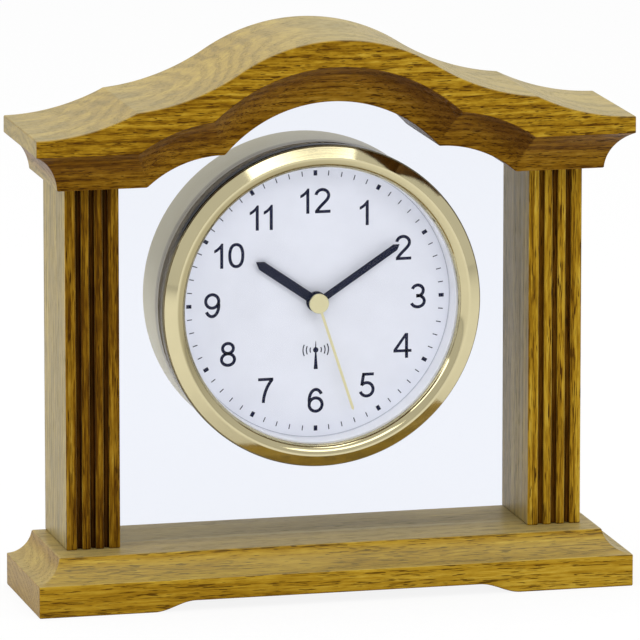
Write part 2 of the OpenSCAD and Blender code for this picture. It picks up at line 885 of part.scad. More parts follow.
// Direction of a tooth of wheel b, so that it meshes with wheel a, seen from a at the angle dir
function mesh_phase(dir, teeth_a, phase_a, teeth_b) =
    dir + 180 + 180 / teeth_b + (dir - phase_a) * teeth_a / teeth_b;

// Involute teeth. step is the module, shift the profile shift as a share of it
module toothed(teeth, step, shift) {
    pitch_r = teeth * step / 2;
    base_r = pitch_r * cos(pressure_deg);
    tip_r = pitch_r + step * (addendum_share + shift);
    root_r = pitch_r - step * (root_share - shift);
    flank_r = max(base_r, root_r);
    tooth_w = step * (PI / 2 + 2 * shift * tan(pressure_deg) - backlash_share);
    half_deg = tooth_w / 2 / pitch_r * 180 / PI + involute_deg(base_r, pitch_r);
    radii = [for (i = [0:flank_steps]) flank_r + (tip_r - flank_r) * i / flank_steps];
    low = [for (r = radii) [r, half_deg - involute_deg(base_r, r)]];
    rise = root_r < flank_r ? concat([[root_r, low[0][1]]], low) : low;
    polygon([for (k = [0:teeth - 1]) let (a = k * 360 / teeth)
        each concat([for (p = rise) polar(p[0], a - p[1])],
            [for (i = [len(rise) - 1:-1:0]) polar(rise[i][0], a + rise[i][1])])]);
}

module wheel_holes(pitch_r, count) {
    for (k = [0:count - 1]) rotate((k + 0.5) * 360 / count)
        translate([pitch_r * hole_ring_share, 0]) circle(r = pitch_r * hole_share);
}

// The tube that a wheel turns on its pin with, from one plate of the movement to the other
module spindle(place_x) {
    slab(wall_front + spindle_play, wall_back - pin_boss_h - spindle_play)
        translate([place_x, 0]) ring(spindle_r, pin_r + pivot_play);
}

module on_pin(place_x, from_plane) {
    slab(from_plane, from_plane + wheel_t) translate([place_x, 0]) difference() {
        children();
        circle(r = pin_r + pivot_play);
    }
}

// The wheel and pinion between a motor's rotor and the wheel on the centre
module mid_wheel(side, wheel_plane, pinion_plane) {
    pinion_phase = mesh_phase(side > 0 ? 0 : 180, drive_wheel_teeth, 0, drive_pinion_teeth);
    color("#e8e2cf") {
        on_pin(side * mid_x, pinion_plane)
            rotate(pinion_phase) toothed(drive_pinion_teeth, drive_module, drive_shift_share);
        on_pin(side * mid_x, wheel_plane) difference() {
            toothed(rotor_wheel_teeth, rotor_module, -rotor_shift_share);
            wheel_holes(rotor_module * rotor_wheel_teeth / 2, 4);
        }
        spindle(side * mid_x);
    }
}

module rotor(side, wheel_plane) {
    pinion_phase = mesh_phase(side > 0 ? 0 : 180, rotor_wheel_teeth, 0, rotor_pinion_teeth);
    magnet_front = stator_plane + stator_t / 2 - magnet_h / 2;
    color("#4a4d55") {
        on_pin(side * rotor_x, wheel_plane)
            rotate(pinion_phase) toothed(rotor_pinion_teeth, rotor_module, rotor_shift_share);
        spindle(side * rotor_x);
        slab(magnet_front, magnet_front + magnet_h)
            translate([side * rotor_x, 0]) ring(magnet_r, pin_r + pivot_play);
    }
}

module second_wheel() {
    arbor_end = wall_back - pin_boss_h + pin_hole_d - pin_end_play;
    color("#e8e2cf") {
        slab(second_plane, second_plane + wheel_t) difference() {
            toothed(drive_wheel_teeth, drive_module, -drive_shift_share);
            wheel_holes(drive_module * drive_wheel_teeth / 2, 5);
        }
        slab(second_plane - collar_t, second_plane + wheel_t + 2 * collar_t) circle(r = collar_r);
        slab(second_hand_back - second_hub_t, arbor_end) circle(r = second_arbor_r);
    }
}

module minute_wheel() {
    color("#e8e2cf") {
        slab(minute_plane, minute_plane + wheel_t) difference() {
            toothed(drive_wheel_teeth, drive_module, -drive_shift_share);
            circle(r = minute_pipe_in);
            wheel_holes(drive_module * drive_wheel_teeth / 2, 5);
        }
        slab(cannon_plane, cannon_plane + wheel_t) difference() {
            toothed(cannon_teeth, cannon_module, cannon_shift_share);
            circle(r = minute_pipe_in);
        }
        slab(minute_hand_back - minute_hub_t - pipe_proud, minute_plane) ring(minute_pipe_r, minute_pipe_in);
    }
}

module change_wheel() {
    wheel_phase = mesh_phase(90, cannon_teeth, 0, change_wheel_teeth);
    color("#e8e2cf") {
        slab(cannon_plane, cannon_plane + wheel_t) translate([0, change_dist]) difference() {
            rotate(wheel_phase) toothed(change_wheel_teeth, cannon_module, -cannon_shift_share);
            circle(r = pin_r + pivot_play);
            wheel_holes(cannon_module * change_wheel_teeth / 2, 4);
        }
        slab(hour_plane, cannon_plane) translate([0, change_dist]) difference() {
            toothed(change_pinion_teeth, change_module, change_shift_share);
            circle(r = pin_r + pivot_play);
        }
    }
}

module hour_wheel() {
    wheel_phase = mesh_phase(-90, change_pinion_teeth, 0, hour_wheel_teeth);
    color("#e8e2cf") {
        slab(hour_plane, hour_plane + wheel_t) difference() {
            rotate(wheel_phase) toothed(hour_wheel_teeth, change_module, -change_shift_share);
            circle(r = hour_pipe_in);
        }
        slab(hour_hand_back - hour_hub_t, hour_plane) ring(hour_pipe_r, hour_pipe_in);
    }
}

module seconds_mid_wheel() {
    mid_wheel(-1, seconds_mid_plane, second_plane);
}

module minutes_mid_wheel() {
    mid_wheel(1, minutes_mid_plane, minute_plane);
}

module seconds_rotor() {
    rotor(-1, seconds_mid_plane);
}

module minutes_rotor() {
    rotor(1, minutes_mid_plane);
}

// Motors

module stator(side) {
    color("#9a9ca0") slab(stator_plane, stator_plane + stator_t) mirror([side < 0 ? 1 : 0, 0])
        difference() {
            union() {
                box_2d([stator_in_x, -stator_half_h], [stator_out_x, stator_half_h]);
                for (x = [stator_in_x, stator_out_x - ear_w])
                    box_2d([x, 0], [x + ear_w, core_y + core_w / 2]);
            }
            translate([rotor_x, 0]) circle(r = stator_hole_r);
        }
}

module motor_core(side) {
    color("#9a9ca0") slab(stator_plane + stator_t, stator_plane + 2 * stator_t)
        mirror([side < 0 ? 1 : 0, 0])
            box_2d([stator_in_x, core_y - core_w / 2], [stator_out_x, core_y + core_w / 2]);
}

module motor_coil(side) {
    from_x = stator_in_x + ear_w + coil_gap;
    to_x = stator_out_x - ear_w - coil_gap;
    color("#a5562a") face(stator_plane + 1.5 * stator_t) mirror([side < 0 ? 1 : 0, 0, 0])
        translate([from_x, core_y, 0]) rotate([0, 90, 0]) difference() {
            union() {
                cylinder(h = to_x - from_x, r = coil_r * winding_share);
                cylinder(h = flange_t, r = coil_r);
                translate([0, 0, to_x - from_x - flange_t]) cylinder(h = flange_t, r = coil_r);
            }
            cube([stator_t, core_w, 4 * (to_x - from_x)], center = true);
        }
}

module seconds_stator() {
    stator(-1);
}

module seconds_core() {
    motor_core(-1);
}

module seconds_coil() {
    motor_coil(-1);
}

module minutes_stator() {
    stator(1);
}

module minutes_core() {
    motor_core(1);
}

module minutes_coil() {
    motor_coil(1);
}

// Circuit board and aerial

module circuit_board() {
    color("#2f6b3c") slab(board_front, board_front + board_t)
        box_2d([-board_half_w, board_low_y], [board_half_w, board_top_y]);
}

module board_chip() {
    color("#151515") slab(board_front + board_t, board_front + board_t + chip_h)
        translate([0, board_low_y + chip_w / 2 + chip_in]) square(chip_w, center = true);
}

module board_switches() {
    color("#303030") slab(board_front + board_t, board_front + board_t + switch_h) for (s = [-1, 1])
        translate([s * button_x, button_y]) square(switch_w, center = true);
}

module quartz_crystal() {
    color("silver") face(board_front + board_t + quartz_r) translate([0, board_top_y - quartz_r - quartz_in, 0])
        rotate([0, 90, 0]) cylinder(h = quartz_len, r = quartz_r, center = true);
}

module antenna_rod() {
    color("#3a3a3c") aerial_bar(aerial_r, aerial_len);
}

module antenna_coil() {
    color("#b06a35") difference() {
        aerial_bar(aerial_coil_r, aerial_coil_len);
        aerial_bar(aerial_r, aerial_len);
    }
}

// Battery, its contacts and door, and the buttons

module along_cell(from_x, length, r) {
    face(cell_d) translate([from_x, cell_y, 0]) rotate([0, 90, 0]) cylinder(h = length, r = r);
}

module cell() {
    color("#6d7278") {
        along_cell(cell_foot_x, cell_len, cell_r);
        along_cell(cell_foot_x + cell_len, nub_len, nub_r);
    }
}

module positive_contact() {
    color("silver") {
        slab(cell_d - contact_w / 2, cell_d + contact_w / 2)
            box_2d([move_in - contact_t, cell_y - contact_w / 2], [move_in, cell_y + contact_w / 2]);
        along_cell(cell_end_x, move_in - cell_end_x, nub_r);
    }
}

module negative_contact() {
    back_x = -move_in;
    bow = negative_rise - contact_t / 2;
    bow_r = (pow(contact_w / 2, 2) + bow * bow) / (2 * bow);
    color("silver") slab(cell_d - contact_w / 2, cell_d + contact_w / 2) {
        box_2d([back_x, cell_y - contact_w / 2], [back_x + contact_t, cell_y + contact_w / 2]);
        intersection() {
            translate([cell_foot_x - bow_r, cell_y]) ring(bow_r, bow_r - contact_t);
            box_2d([back_x, cell_y - contact_w / 2], [cell_foot_x, cell_y + contact_w / 2]);
        }
    }
}

module battery_door() {
    color("#303236") {
        slab(wall_back, move_back) difference() {
            box_2d([-door_half_w, door_pivot_y], [door_half_w, door_top_y]);
            box_2d([-notch_w / 2, door_top_y - notch_d], [notch_w / 2, door_top_y + over]);
        }
        face(move_back - door_t / 2) translate([0, door_pivot_y, 0]) rotate([0, 90, 0]) {
            cylinder(h = 2 * door_half_w, r = door_t / 2, center = true);
            cylinder(h = 2 * (door_half_w + door_pin_len), r = door_pin_r, center = true);
        }
    }
}

module button(side) {
    color("#c9c9cc") {
        slab(wall_back - button_flange_t, move_back + button_proud)
            translate([side * button_x, button_y]) circle(r = button_r);
        slab(wall_back - button_flange_t, wall_back)
            translate([side * button_x, button_y]) circle(r = button_flange_r);
    }
}

module set_button() {
    button(-1);
}

module reset_button() {
    button(1);
}

// Hands

module blade(length, w, tip_len) {
    polygon([[-w / 2, 0], [w / 2, 0], [w / 2, length - tip_len], [0, length], [-w / 2, length - tip_len]]);
}

module hour_hand() {
    color("#23263a") {
        slab(hour_hand_back - hour_hub_t, hour_hand_back) ring(hour_hub_r, hour_pipe_r);
        slab(hour_hand_back - hour_hub_t, hour_hand_back - hour_hub_t + hand_t) rotate(-hour_turn)
            difference() {
                blade(hour_hand_len, hour_hand_w, hour_hand_w * tip_share);
                circle(r = hour_pipe_r);
            }
    }
}

module minute_hand() {
    color("#23263a") {
        slab(minute_hand_back - minute_hub_t, minute_hand_back) ring(minute_hub_r, minute_pipe_r);
        slab(minute_hand_back - minute_hub_t, minute_hand_back - minute_hub_t + hand_t) rotate(-minute_turn)
            difference() {
                blade(minute_hand_len, minute_hand_w, minute_hand_w * tip_share);
                circle(r = minute_pipe_r);
            }
    }
}

module second_hand() {
    color("#d6c48a") {
        slab(second_hand_back - second_hub_t, second_hand_back) ring(second_hub_r, second_arbor_r);
        slab(second_hand_back - second_hub_t, second_hand_back - second_hub_t + second_hand_t)
            rotate(-second_turn) difference() {
                blade(second_hand_len, second_hand_w, second_hand_w * tip_share);
                circle(r = second_arbor_r);
            }
    }
}

module second_cap() {
    color("#d6c48a") slab(second_hand_back - second_hub_t - second_cap_t, second_hand_back - second_hub_t)
        circle(r = second_cap_r);
}

base();
left_pillar();
right_pillar();
cornice();
pillar_screws();
cornice_dowels();
glass_pane();
bezel();
lens();
chapter_ring();
dial();
dial_plate();
pane_gasket();
drum();
rear_cover();
cover_screws();
movement_front();
movement_back();
movement_screws();
wheel_pins();
second_wheel();
seconds_mid_wheel();
seconds_rotor();
seconds_stator();
seconds_core();
seconds_coil();
minute_wheel();
minutes_mid_wheel();
minutes_rotor();
minutes_stator();
minutes_core();
minutes_coil();
change_wheel();
hour_wheel();
circuit_board();
board_chip();
board_switches();
quartz_crystal();
antenna_rod();
antenna_coil();
cell();
battery_door();
positive_contact();
negative_contact();
set_button();
reset_button();
hour_hand();
minute_hand();
second_hand();
second_cap();
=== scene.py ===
# Wooden table clock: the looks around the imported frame.
# Sizes are millimetres where no line says otherwise, and every mesh is made in metres in the frame's
# own axes: the front faces -Y, +X is to the right, +Z is up and the base stands on z = 0.
import json
import math

import bmesh
import bpy
import numpy as np
from mathutils import Matrix, Vector

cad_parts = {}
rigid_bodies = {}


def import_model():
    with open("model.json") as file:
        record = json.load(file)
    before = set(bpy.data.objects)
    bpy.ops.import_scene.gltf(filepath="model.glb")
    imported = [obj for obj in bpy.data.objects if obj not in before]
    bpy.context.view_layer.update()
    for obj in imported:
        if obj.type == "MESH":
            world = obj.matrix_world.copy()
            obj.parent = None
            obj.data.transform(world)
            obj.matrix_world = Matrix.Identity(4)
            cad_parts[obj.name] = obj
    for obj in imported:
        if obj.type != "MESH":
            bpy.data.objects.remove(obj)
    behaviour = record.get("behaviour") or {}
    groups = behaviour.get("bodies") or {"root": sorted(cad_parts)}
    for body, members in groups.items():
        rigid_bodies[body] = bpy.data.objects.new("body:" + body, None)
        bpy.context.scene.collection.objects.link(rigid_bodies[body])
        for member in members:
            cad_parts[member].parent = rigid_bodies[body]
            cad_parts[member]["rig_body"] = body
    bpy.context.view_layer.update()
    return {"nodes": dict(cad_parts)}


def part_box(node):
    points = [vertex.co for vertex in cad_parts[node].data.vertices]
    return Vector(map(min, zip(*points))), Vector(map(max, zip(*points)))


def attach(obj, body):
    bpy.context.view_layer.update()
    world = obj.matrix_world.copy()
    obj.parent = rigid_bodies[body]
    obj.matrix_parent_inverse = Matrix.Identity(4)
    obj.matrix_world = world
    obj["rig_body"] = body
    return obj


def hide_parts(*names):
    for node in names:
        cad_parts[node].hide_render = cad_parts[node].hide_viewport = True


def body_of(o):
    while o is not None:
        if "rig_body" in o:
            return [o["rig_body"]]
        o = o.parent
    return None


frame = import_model()
nodes = frame["nodes"]
mm = 0.001


# The camera orbits a target at the clock's middle, in metres, and is turned a little about its line of
# sight. For azimuth a and elevation e, the way back from the target is (sin a cos e, -cos a cos e, sin e).
def placeCamera():
    orbit = {"azimuth": -13.93, "elevation": 11.17, "roll": -0.01, "distance": 3.106,
             "target": (0.0001, -0.00225, 0.1025), "lens": 463.2, "sensor": 36.0, "nearest": 0.05}
    a, e, r = (math.radians(orbit[k]) for k in ("azimuth", "elevation", "roll"))
    back = Vector((math.sin(a) * math.cos(e), -math.cos(a) * math.cos(e), math.sin(e)))
    right = Vector((math.cos(a), math.sin(a), 0.0))
    up = back.cross(right)
    tiltedRight = right * math.cos(r) + up * math.sin(r)
    tiltedUp = up * math.cos(r) - right * math.sin(r)
    turn = Matrix((tiltedRight, tiltedUp, back)).transposed().to_4x4()
    data = bpy.data.cameras.new("Camera")
    data.sensor_width = orbit["sensor"]
    data.lens = orbit["lens"]
    data.clip_start = orbit["nearest"]
    camera = bpy.data.objects.new("Camera", data)
    camera.matrix_world = Matrix.Translation(Vector(orbit["target"]) + back * orbit["distance"]) @ turn
    bpy.context.scene.collection.objects.link(camera)
    bpy.context.scene.camera = camera


placeCamera()
print("camera placed")


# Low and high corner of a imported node: its box in metres, divided by a millimetre.
def boxMm(name):
    low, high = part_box(name)
    return np.array(low) / mm, np.array(high) / mm


# sizes that the frame gives
baseLow, baseHigh = boxMm("base")
bezelLow, bezelHigh = boxMm("bezel")
frontY = baseLow[1]
caseW = baseHigh[0] - baseLow[0]
caseD = baseHigh[1] - baseLow[1]
baseTop = baseHigh[2]
corniceZ = boxMm("cornice")[0][2]
dialZ = (bezelLow[2] + bezelHigh[2]) / 2


# Makes a mesh object from points, times a millimetre, and lists of their numbers, and lets it ride on a
# body. All faces are shaded smooth but those whose numbers are in flatFaces.
def makePiece(name, points, faces, material, body="case", slot=None, replaces=(), flatFaces=()):
    mesh = bpy.data.meshes.new(name)
    mesh.from_pydata((np.asarray(points) * mm).tolist(), [], [list(f) for f in faces])
    mesh.update()
    smooth = np.ones(len(mesh.polygons), dtype=bool)
    smooth[list(flatFaces)] = False
    mesh.polygons.foreach_set("use_smooth", smooth)
    mesh.materials.append(material)
    piece = bpy.data.objects.new(name, mesh)
    bpy.context.scene.collection.objects.link(piece)
    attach(piece, body)
    if replaces:
        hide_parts(*replaces)


# Quads of a grid whose point (row, column) has the number row * columns + column, closed into rings
# where asked.
def gridQuads(rows, columns, closeRows=False, closeColumns=False):
    r = np.arange(rows if closeRows else rows - 1)
    c = np.arange(columns if closeColumns else columns - 1)
    rr, cc = np.meshgrid(r, c, indexing="ij")
    nextRow = (rr + 1) % rows
    nextColumn = (cc + 1) % columns
    corners = [rr * columns + cc, nextRow * columns + cc,
               nextRow * columns + nextColumn, rr * columns + nextColumn]
    return np.stack(corners, axis=-1).reshape(-1, 4)


# A closed polyline whose corners become arcs that touch both sides: the arc's centre lies radius / sin
# of half the corner's angle from the corner. A point is kept beside each arc, at supportGap from it, so
# that flat faces stay flat in the shading.
def roundedPath(corners, radii, steps, supportGap):
    straight = math.radians(89.5)
    corners = np.asarray(corners, dtype=float)
    t = np.linspace(0, 1, steps + 1)[:, None]
    path = []
    for i, (corner, radius) in enumerate(zip(corners, radii)):
        before = corners[i - 1] - corner
        after = corners[(i + 1) % len(corners)] - corner
        before, after = before / np.linalg.norm(before), after / np.linalg.norm(after)
        half = math.acos(np.clip(np.dot(before, after), -1, 1)) / 2
        if radius <= 0 or half > straight:
            path.append(corner[None, :])
            continue
        reach = radius / math.tan(half)
        middle = (before + after) / np.linalg.norm(before + after)
        centre = corner + middle * radius / math.sin(half)
        start, end = corner + before * reach - centre, corner + after * reach - centre
        sweep = math.pi - 2 * half
        arc = centre + (np.sin((1 - t) * sweep) * start + np.sin(t * sweep) * end) / math.sin(sweep)
        path += [corner[None, :] + before * (reach + supportGap), arc,
                 corner[None, :] + after * (reach + supportGap)]
    return np.concatenate(path)


# Turns a closed outline of (radius, depth) about the dial's axis: x = radius cos a, y = the front +
# depth, z = the dial's height + radius sin a.
def turnedPiece(name, outline, material, segments=256, **facts):
    angle = np.linspace(0, 2 * math.pi, segments, endpoint=False)[:, None]
    radius, depth = outline[:, 0], outline[:, 1]
    points = np.stack([radius * np.cos(angle), np.broadcast_to(frontY + depth, (segments, len(depth))),
                       dialZ + radius * np.sin(angle)], axis=-1)
    quads = gridQuads(segments, len(outline), True, True)
    area = np.sum(radius * np.roll(depth, -1) - np.roll(radius, -1) * depth)
    if area > 0:
        quads = quads[:, ::-1]
    makePiece(name, points.reshape(-1, 3), quads, material, **facts)


# What a node puts out: a number, a colour or a vector. Arithmetic on it adds Math nodes to its tree.
class Value:
    def __init__(self, socket):
        self.socket = socket
        self.tree = socket.id_data

    def __add__(self, other):
        return calc("ADD", self, other)

    def __sub__(self, other):
        return calc("SUBTRACT", self, other)

    def __rsub__(self, other):
        return calc("SUBTRACT", other, self)

    def __mul__(self, other):
        return calc("MULTIPLY", self, other)

    def __truediv__(self, other):
        return calc("DIVIDE", self, other)

    def __abs__(self):
        return calc("ABSOLUTE", self)


# Feeds a node's inputs: a Value is linked, and anything else becomes the socket's own setting.
def feed(node, sockets):
    for key, value in sockets.items():
        if isinstance(value, Value):
            value.tree.links.new(value.socket, node.inputs[key])
        else:
            node.inputs[key].default_value = value


# Adds a node to a tree, with its settings made before its inputs are fed.
def addNode(tree, kind, sockets=None, **settings):
    node = tree.nodes.new(kind)
    for key, value in settings.items():
        setattr(node, key, value)
    feed(node, sockets or {})
    return node


# One Math node on one or two values, of which one at least is a Value.
def calc(operation, *values, clamp=False):
    tree = next(v.tree for v in values if isinstance(v, Value))
    node = addNode(tree, "ShaderNodeMath", dict(enumerate(values)), operation=operation, use_clamp=clamp)
    return Value(node.outputs[0])


# The larger of two values.
def larger(a, b):
    return calc("MAXIMUM", a, b)


# Length of a vector with two parts: the root of a * a + b * b.
def length(a, b):
    return calc("SQRT", a * a + b * b)


# A value carried in proportion from one range to another and held at the ends.
def remap(value, low, high, toLow=0.0, toHigh=1.0, smooth=False):
    node = addNode(value.tree, "ShaderNodeMapRange",
                   {"Value": value, "From Min": low, "From Max": high, "To Min": toLow, "To Max": toHigh},
                   interpolation_type="SMOOTHSTEP" if smooth else "LINEAR")
    return Value(node.outputs["Result"])


# Two colours blended by a factor: a where it is 0 and b, or their product, where it is 1.
def blendColour(factor, a, b, mode="MIX"):
    a, b = (c if isinstance(c, Value) else (*c, 1.0) for c in (a, b))
    node = addNode(factor.tree, "ShaderNodeMix", {0: factor, 6: a, 7: b}, data_type="RGBA", blend_type=mode)
    return Value(node.outputs[2])


# Noise of a point divided by a size along each axis and moved by an offset.
def stretchedNoise(point, sizes, detail, offset=(0, 0, 0), roughness=0.5):
    scaled = addNode(point.tree, "ShaderNodeVectorMath", {0: point, 1: tuple(1 / v for v in sizes)},
                     operation="MULTIPLY")
    moved = addNode(point.tree, "ShaderNodeVectorMath", {0: Value(scaled.outputs[0]), 1: offset},
                    operation="ADD")
    noise = addNode(point.tree, "ShaderNodeTexNoise", {"Vector": Value(moved.outputs[0]), "Scale": 1.0,
                                                       "Detail": detail, "Roughness": roughness})
    return Value(noise.outputs["Fac"])


# Object coordinates in millimetres.
def objectPoint(tree):
    place = Value(addNode(tree, "ShaderNodeTexCoord").outputs["Object"])
    scaled = addNode(tree, "ShaderNodeVectorMath", {0: place, "Scale": 1 / mm}, operation="SCALE")
    return Value(scaled.outputs[0])


# The three parts of a vector.
def split(vector):
    return [Value(part) for part in addNode(vector.tree, "ShaderNodeSeparateXYZ", {0: vector}).outputs]


# A vector from three parts, of which the second is a Value.
def join(x, y, z):
    return Value(addNode(y.tree, "ShaderNodeCombineXYZ", {0: x, 1: y, 2: z}).outputs[0])


# The direction that a face looks in, as three parts from -1 to 1.
def facing(tree):
    return split(Value(addNode(tree, "ShaderNodeNewGeometry").outputs["Normal"]))


# Distance from the dial's axis, and height over it.
def aboutDial(x, z):
    up = z - float(dialZ)
    return length(x, up), up


# A bump from a height, its distance in metres.
def bumpNormal(height, strength, distance):
    bump = addNode(height.tree, "ShaderNodeBump",
                   {"Height": height, "Strength": strength, "Distance": distance})
    return Value(bump.outputs[0])


# Starts a shader group with the given sockets and returns its tree, input node and output node.
def startGroup(name, inputs, outputs):
    tree = bpy.data.node_groups.new(name, "ShaderNodeTree")
    for direction, sockets in (("INPUT", inputs), ("OUTPUT", outputs)):
        for label, (kind, value) in sockets.items():
            socket = tree.interface.new_socket(label, in_out=direction, socket_type="NodeSocket" + kind)
            if value is not None:
                socket.default_value = value
    return tree, tree.nodes.new("NodeGroupInput"), tree.nodes.new("NodeGroupOutput")


# Starts a material and returns it with its tree and its Principled shader.
def startMaterial(name):
    material = bpy.data.materials.new(name)
    material.use_nodes = True
    return material, material.node_tree, material.node_tree.nodes["Principled BSDF"]


# Oak, from a point whose X runs along the grain. The rings are circles round a tilted pith: the distance
# from the pith plus a slow wander is divided by the ring's width, and the fraction of that is the place
# in the ring, which is open-pored on one side. Pores are short dashes along the grain and dots on end
# grain, where a noise passes a limit. The tone is the sum of streaks, broad clouds and mottle, less the
# open wood and the fine pores, times the contrast, plus a level that can change leftwards.
def makeOakGroup():
    noises = {  # sizes along and across the grain, detail, offset, roughness
        "wander": ((70, 22, 22), 2.0, (3.1, 7.7, 1.3)), "pore": ((2.6, 0.36, 0.36), 1.0, (11.3, 2.1, 5.9)),
        "breakUp": ((1.5, 0.9, 0.9), 1.0, (5.0, 1.0, 9.0)),
        "fine": ((6.0, 0.22, 0.22), 2.0, (1.7, 4.4, 2.6), 0.6),
        "streak": ((15, 0.9, 0.9), 3.0, (2.2, 9.1, 6.3), 0.6), "broad": ((60, 11, 11), 2.0, (8.2, 3.3, 0.4)),
        "mottle": ((4.0, 1.5, 1.5), 3.0, (4.6, 6.2, 1.1), 0.65)}
    share = {"wander": 9.0, "streak": 1.05, "broad": 0.8, "mottle": 0.95, "open": 0.13, "finePores": 0.36,
             "level": 0.55, "fineHeight": 0.3}
    ring = {"middle": 0.28, "inner": 0.12, "outer": 0.34}  # where it is open, as shares of its width
    pore = {"limit": 0.64, "inOpenWood": 0.08, "breakUp": 0.12, "edge": (-0.01, 0.05),
            "fineEdge": (0.56, 0.68), "contrast": (0.5, 1.3), "depth": (0.75, 1.0),
            "colour": (0.055, 0.020, 0.002)}
    stops = [(0.0, (0.085, 0.032, 0.002)), (0.3, (0.200, 0.098, 0.004)), (0.55, (0.330, 0.185, 0.010)),
             (0.8, (0.440, 0.275, 0.024)), (1.0, (0.540, 0.370, 0.050))]
    inputs = {"Point": ("Vector", None), "Ring Width": ("Float", 3.0), "Pith Across": ("Float", 60.0),
              "Pith Up": ("Float", -40.0), "Pith Slope": ("Float", 0.05), "Contrast": ("Float", 1.0),
              "Tone": ("Float", 0.0), "Tone Slope": ("Float", 0.0)}
    outputs = {"Color": ("Color", None), "Height": ("Float", None), "Pores": ("Float", None)}
    tree, source, result = startGroup("oak", inputs, outputs)
    given = {key: Value(source.outputs[key]) for key in inputs}
    noise = {key: stretchedNoise(given["Point"], *facts) for key, facts in noises.items()}
    x, y, z = split(given["Point"])
    across = y - given["Pith Across"]
    up = z + x * given["Pith Slope"] - given["Pith Up"]
    wandered = length(across, up) + (noise["wander"] - 0.5) * share["wander"]
    phase = calc("FRACT", wandered / given["Ring Width"])
    openWood = 1.0 - remap(abs(phase - ring["middle"]), ring["inner"], ring["outer"], smooth=True)
    limit = pore["limit"] - openWood * pore["inOpenWood"] + (0.5 - noise["breakUp"]) * pore["breakUp"]
    pores = remap(noise["pore"] - limit, *pore["edge"], smooth=True)
    finePores = remap(noise["fine"], *pore["fineEdge"], smooth=True)
    tone = (noise["streak"] - 0.5) * share["streak"] + (noise["broad"] - 0.5) * share["broad"]
    tone = tone + (noise["mottle"] - 0.5) * share["mottle"] - openWood * share["open"]
    tone = tone - finePores * share["finePores"]
    level = calc("MINIMUM", x, 0.0) * given["Tone Slope"] + given["Tone"] + share["level"]
    ramp = addNode(tree, "ShaderNodeValToRGB", {0: calc("ADD", tone * given["Contrast"], level, clamp=True)})
    elements = ramp.color_ramp.elements
    while len(elements) < len(stops):
        elements.new(0.5)
    for element, (place, colour) in zip(elements, stops):
        element.position = place
        element.color = (*colour, 1.0)
    dark = calc("MULTIPLY", pores, remap(given["Contrast"], *pore["contrast"], *pore["depth"]), clamp=True)
    feed(result, {"Color": blendColour(dark, Value(ramp.outputs[0]), pore["colour"]),
                  "Height": noise["fine"] * share["fineHeight"] - pores, "Pores": pores})
    return tree


oakGroup = makeOakGroup()


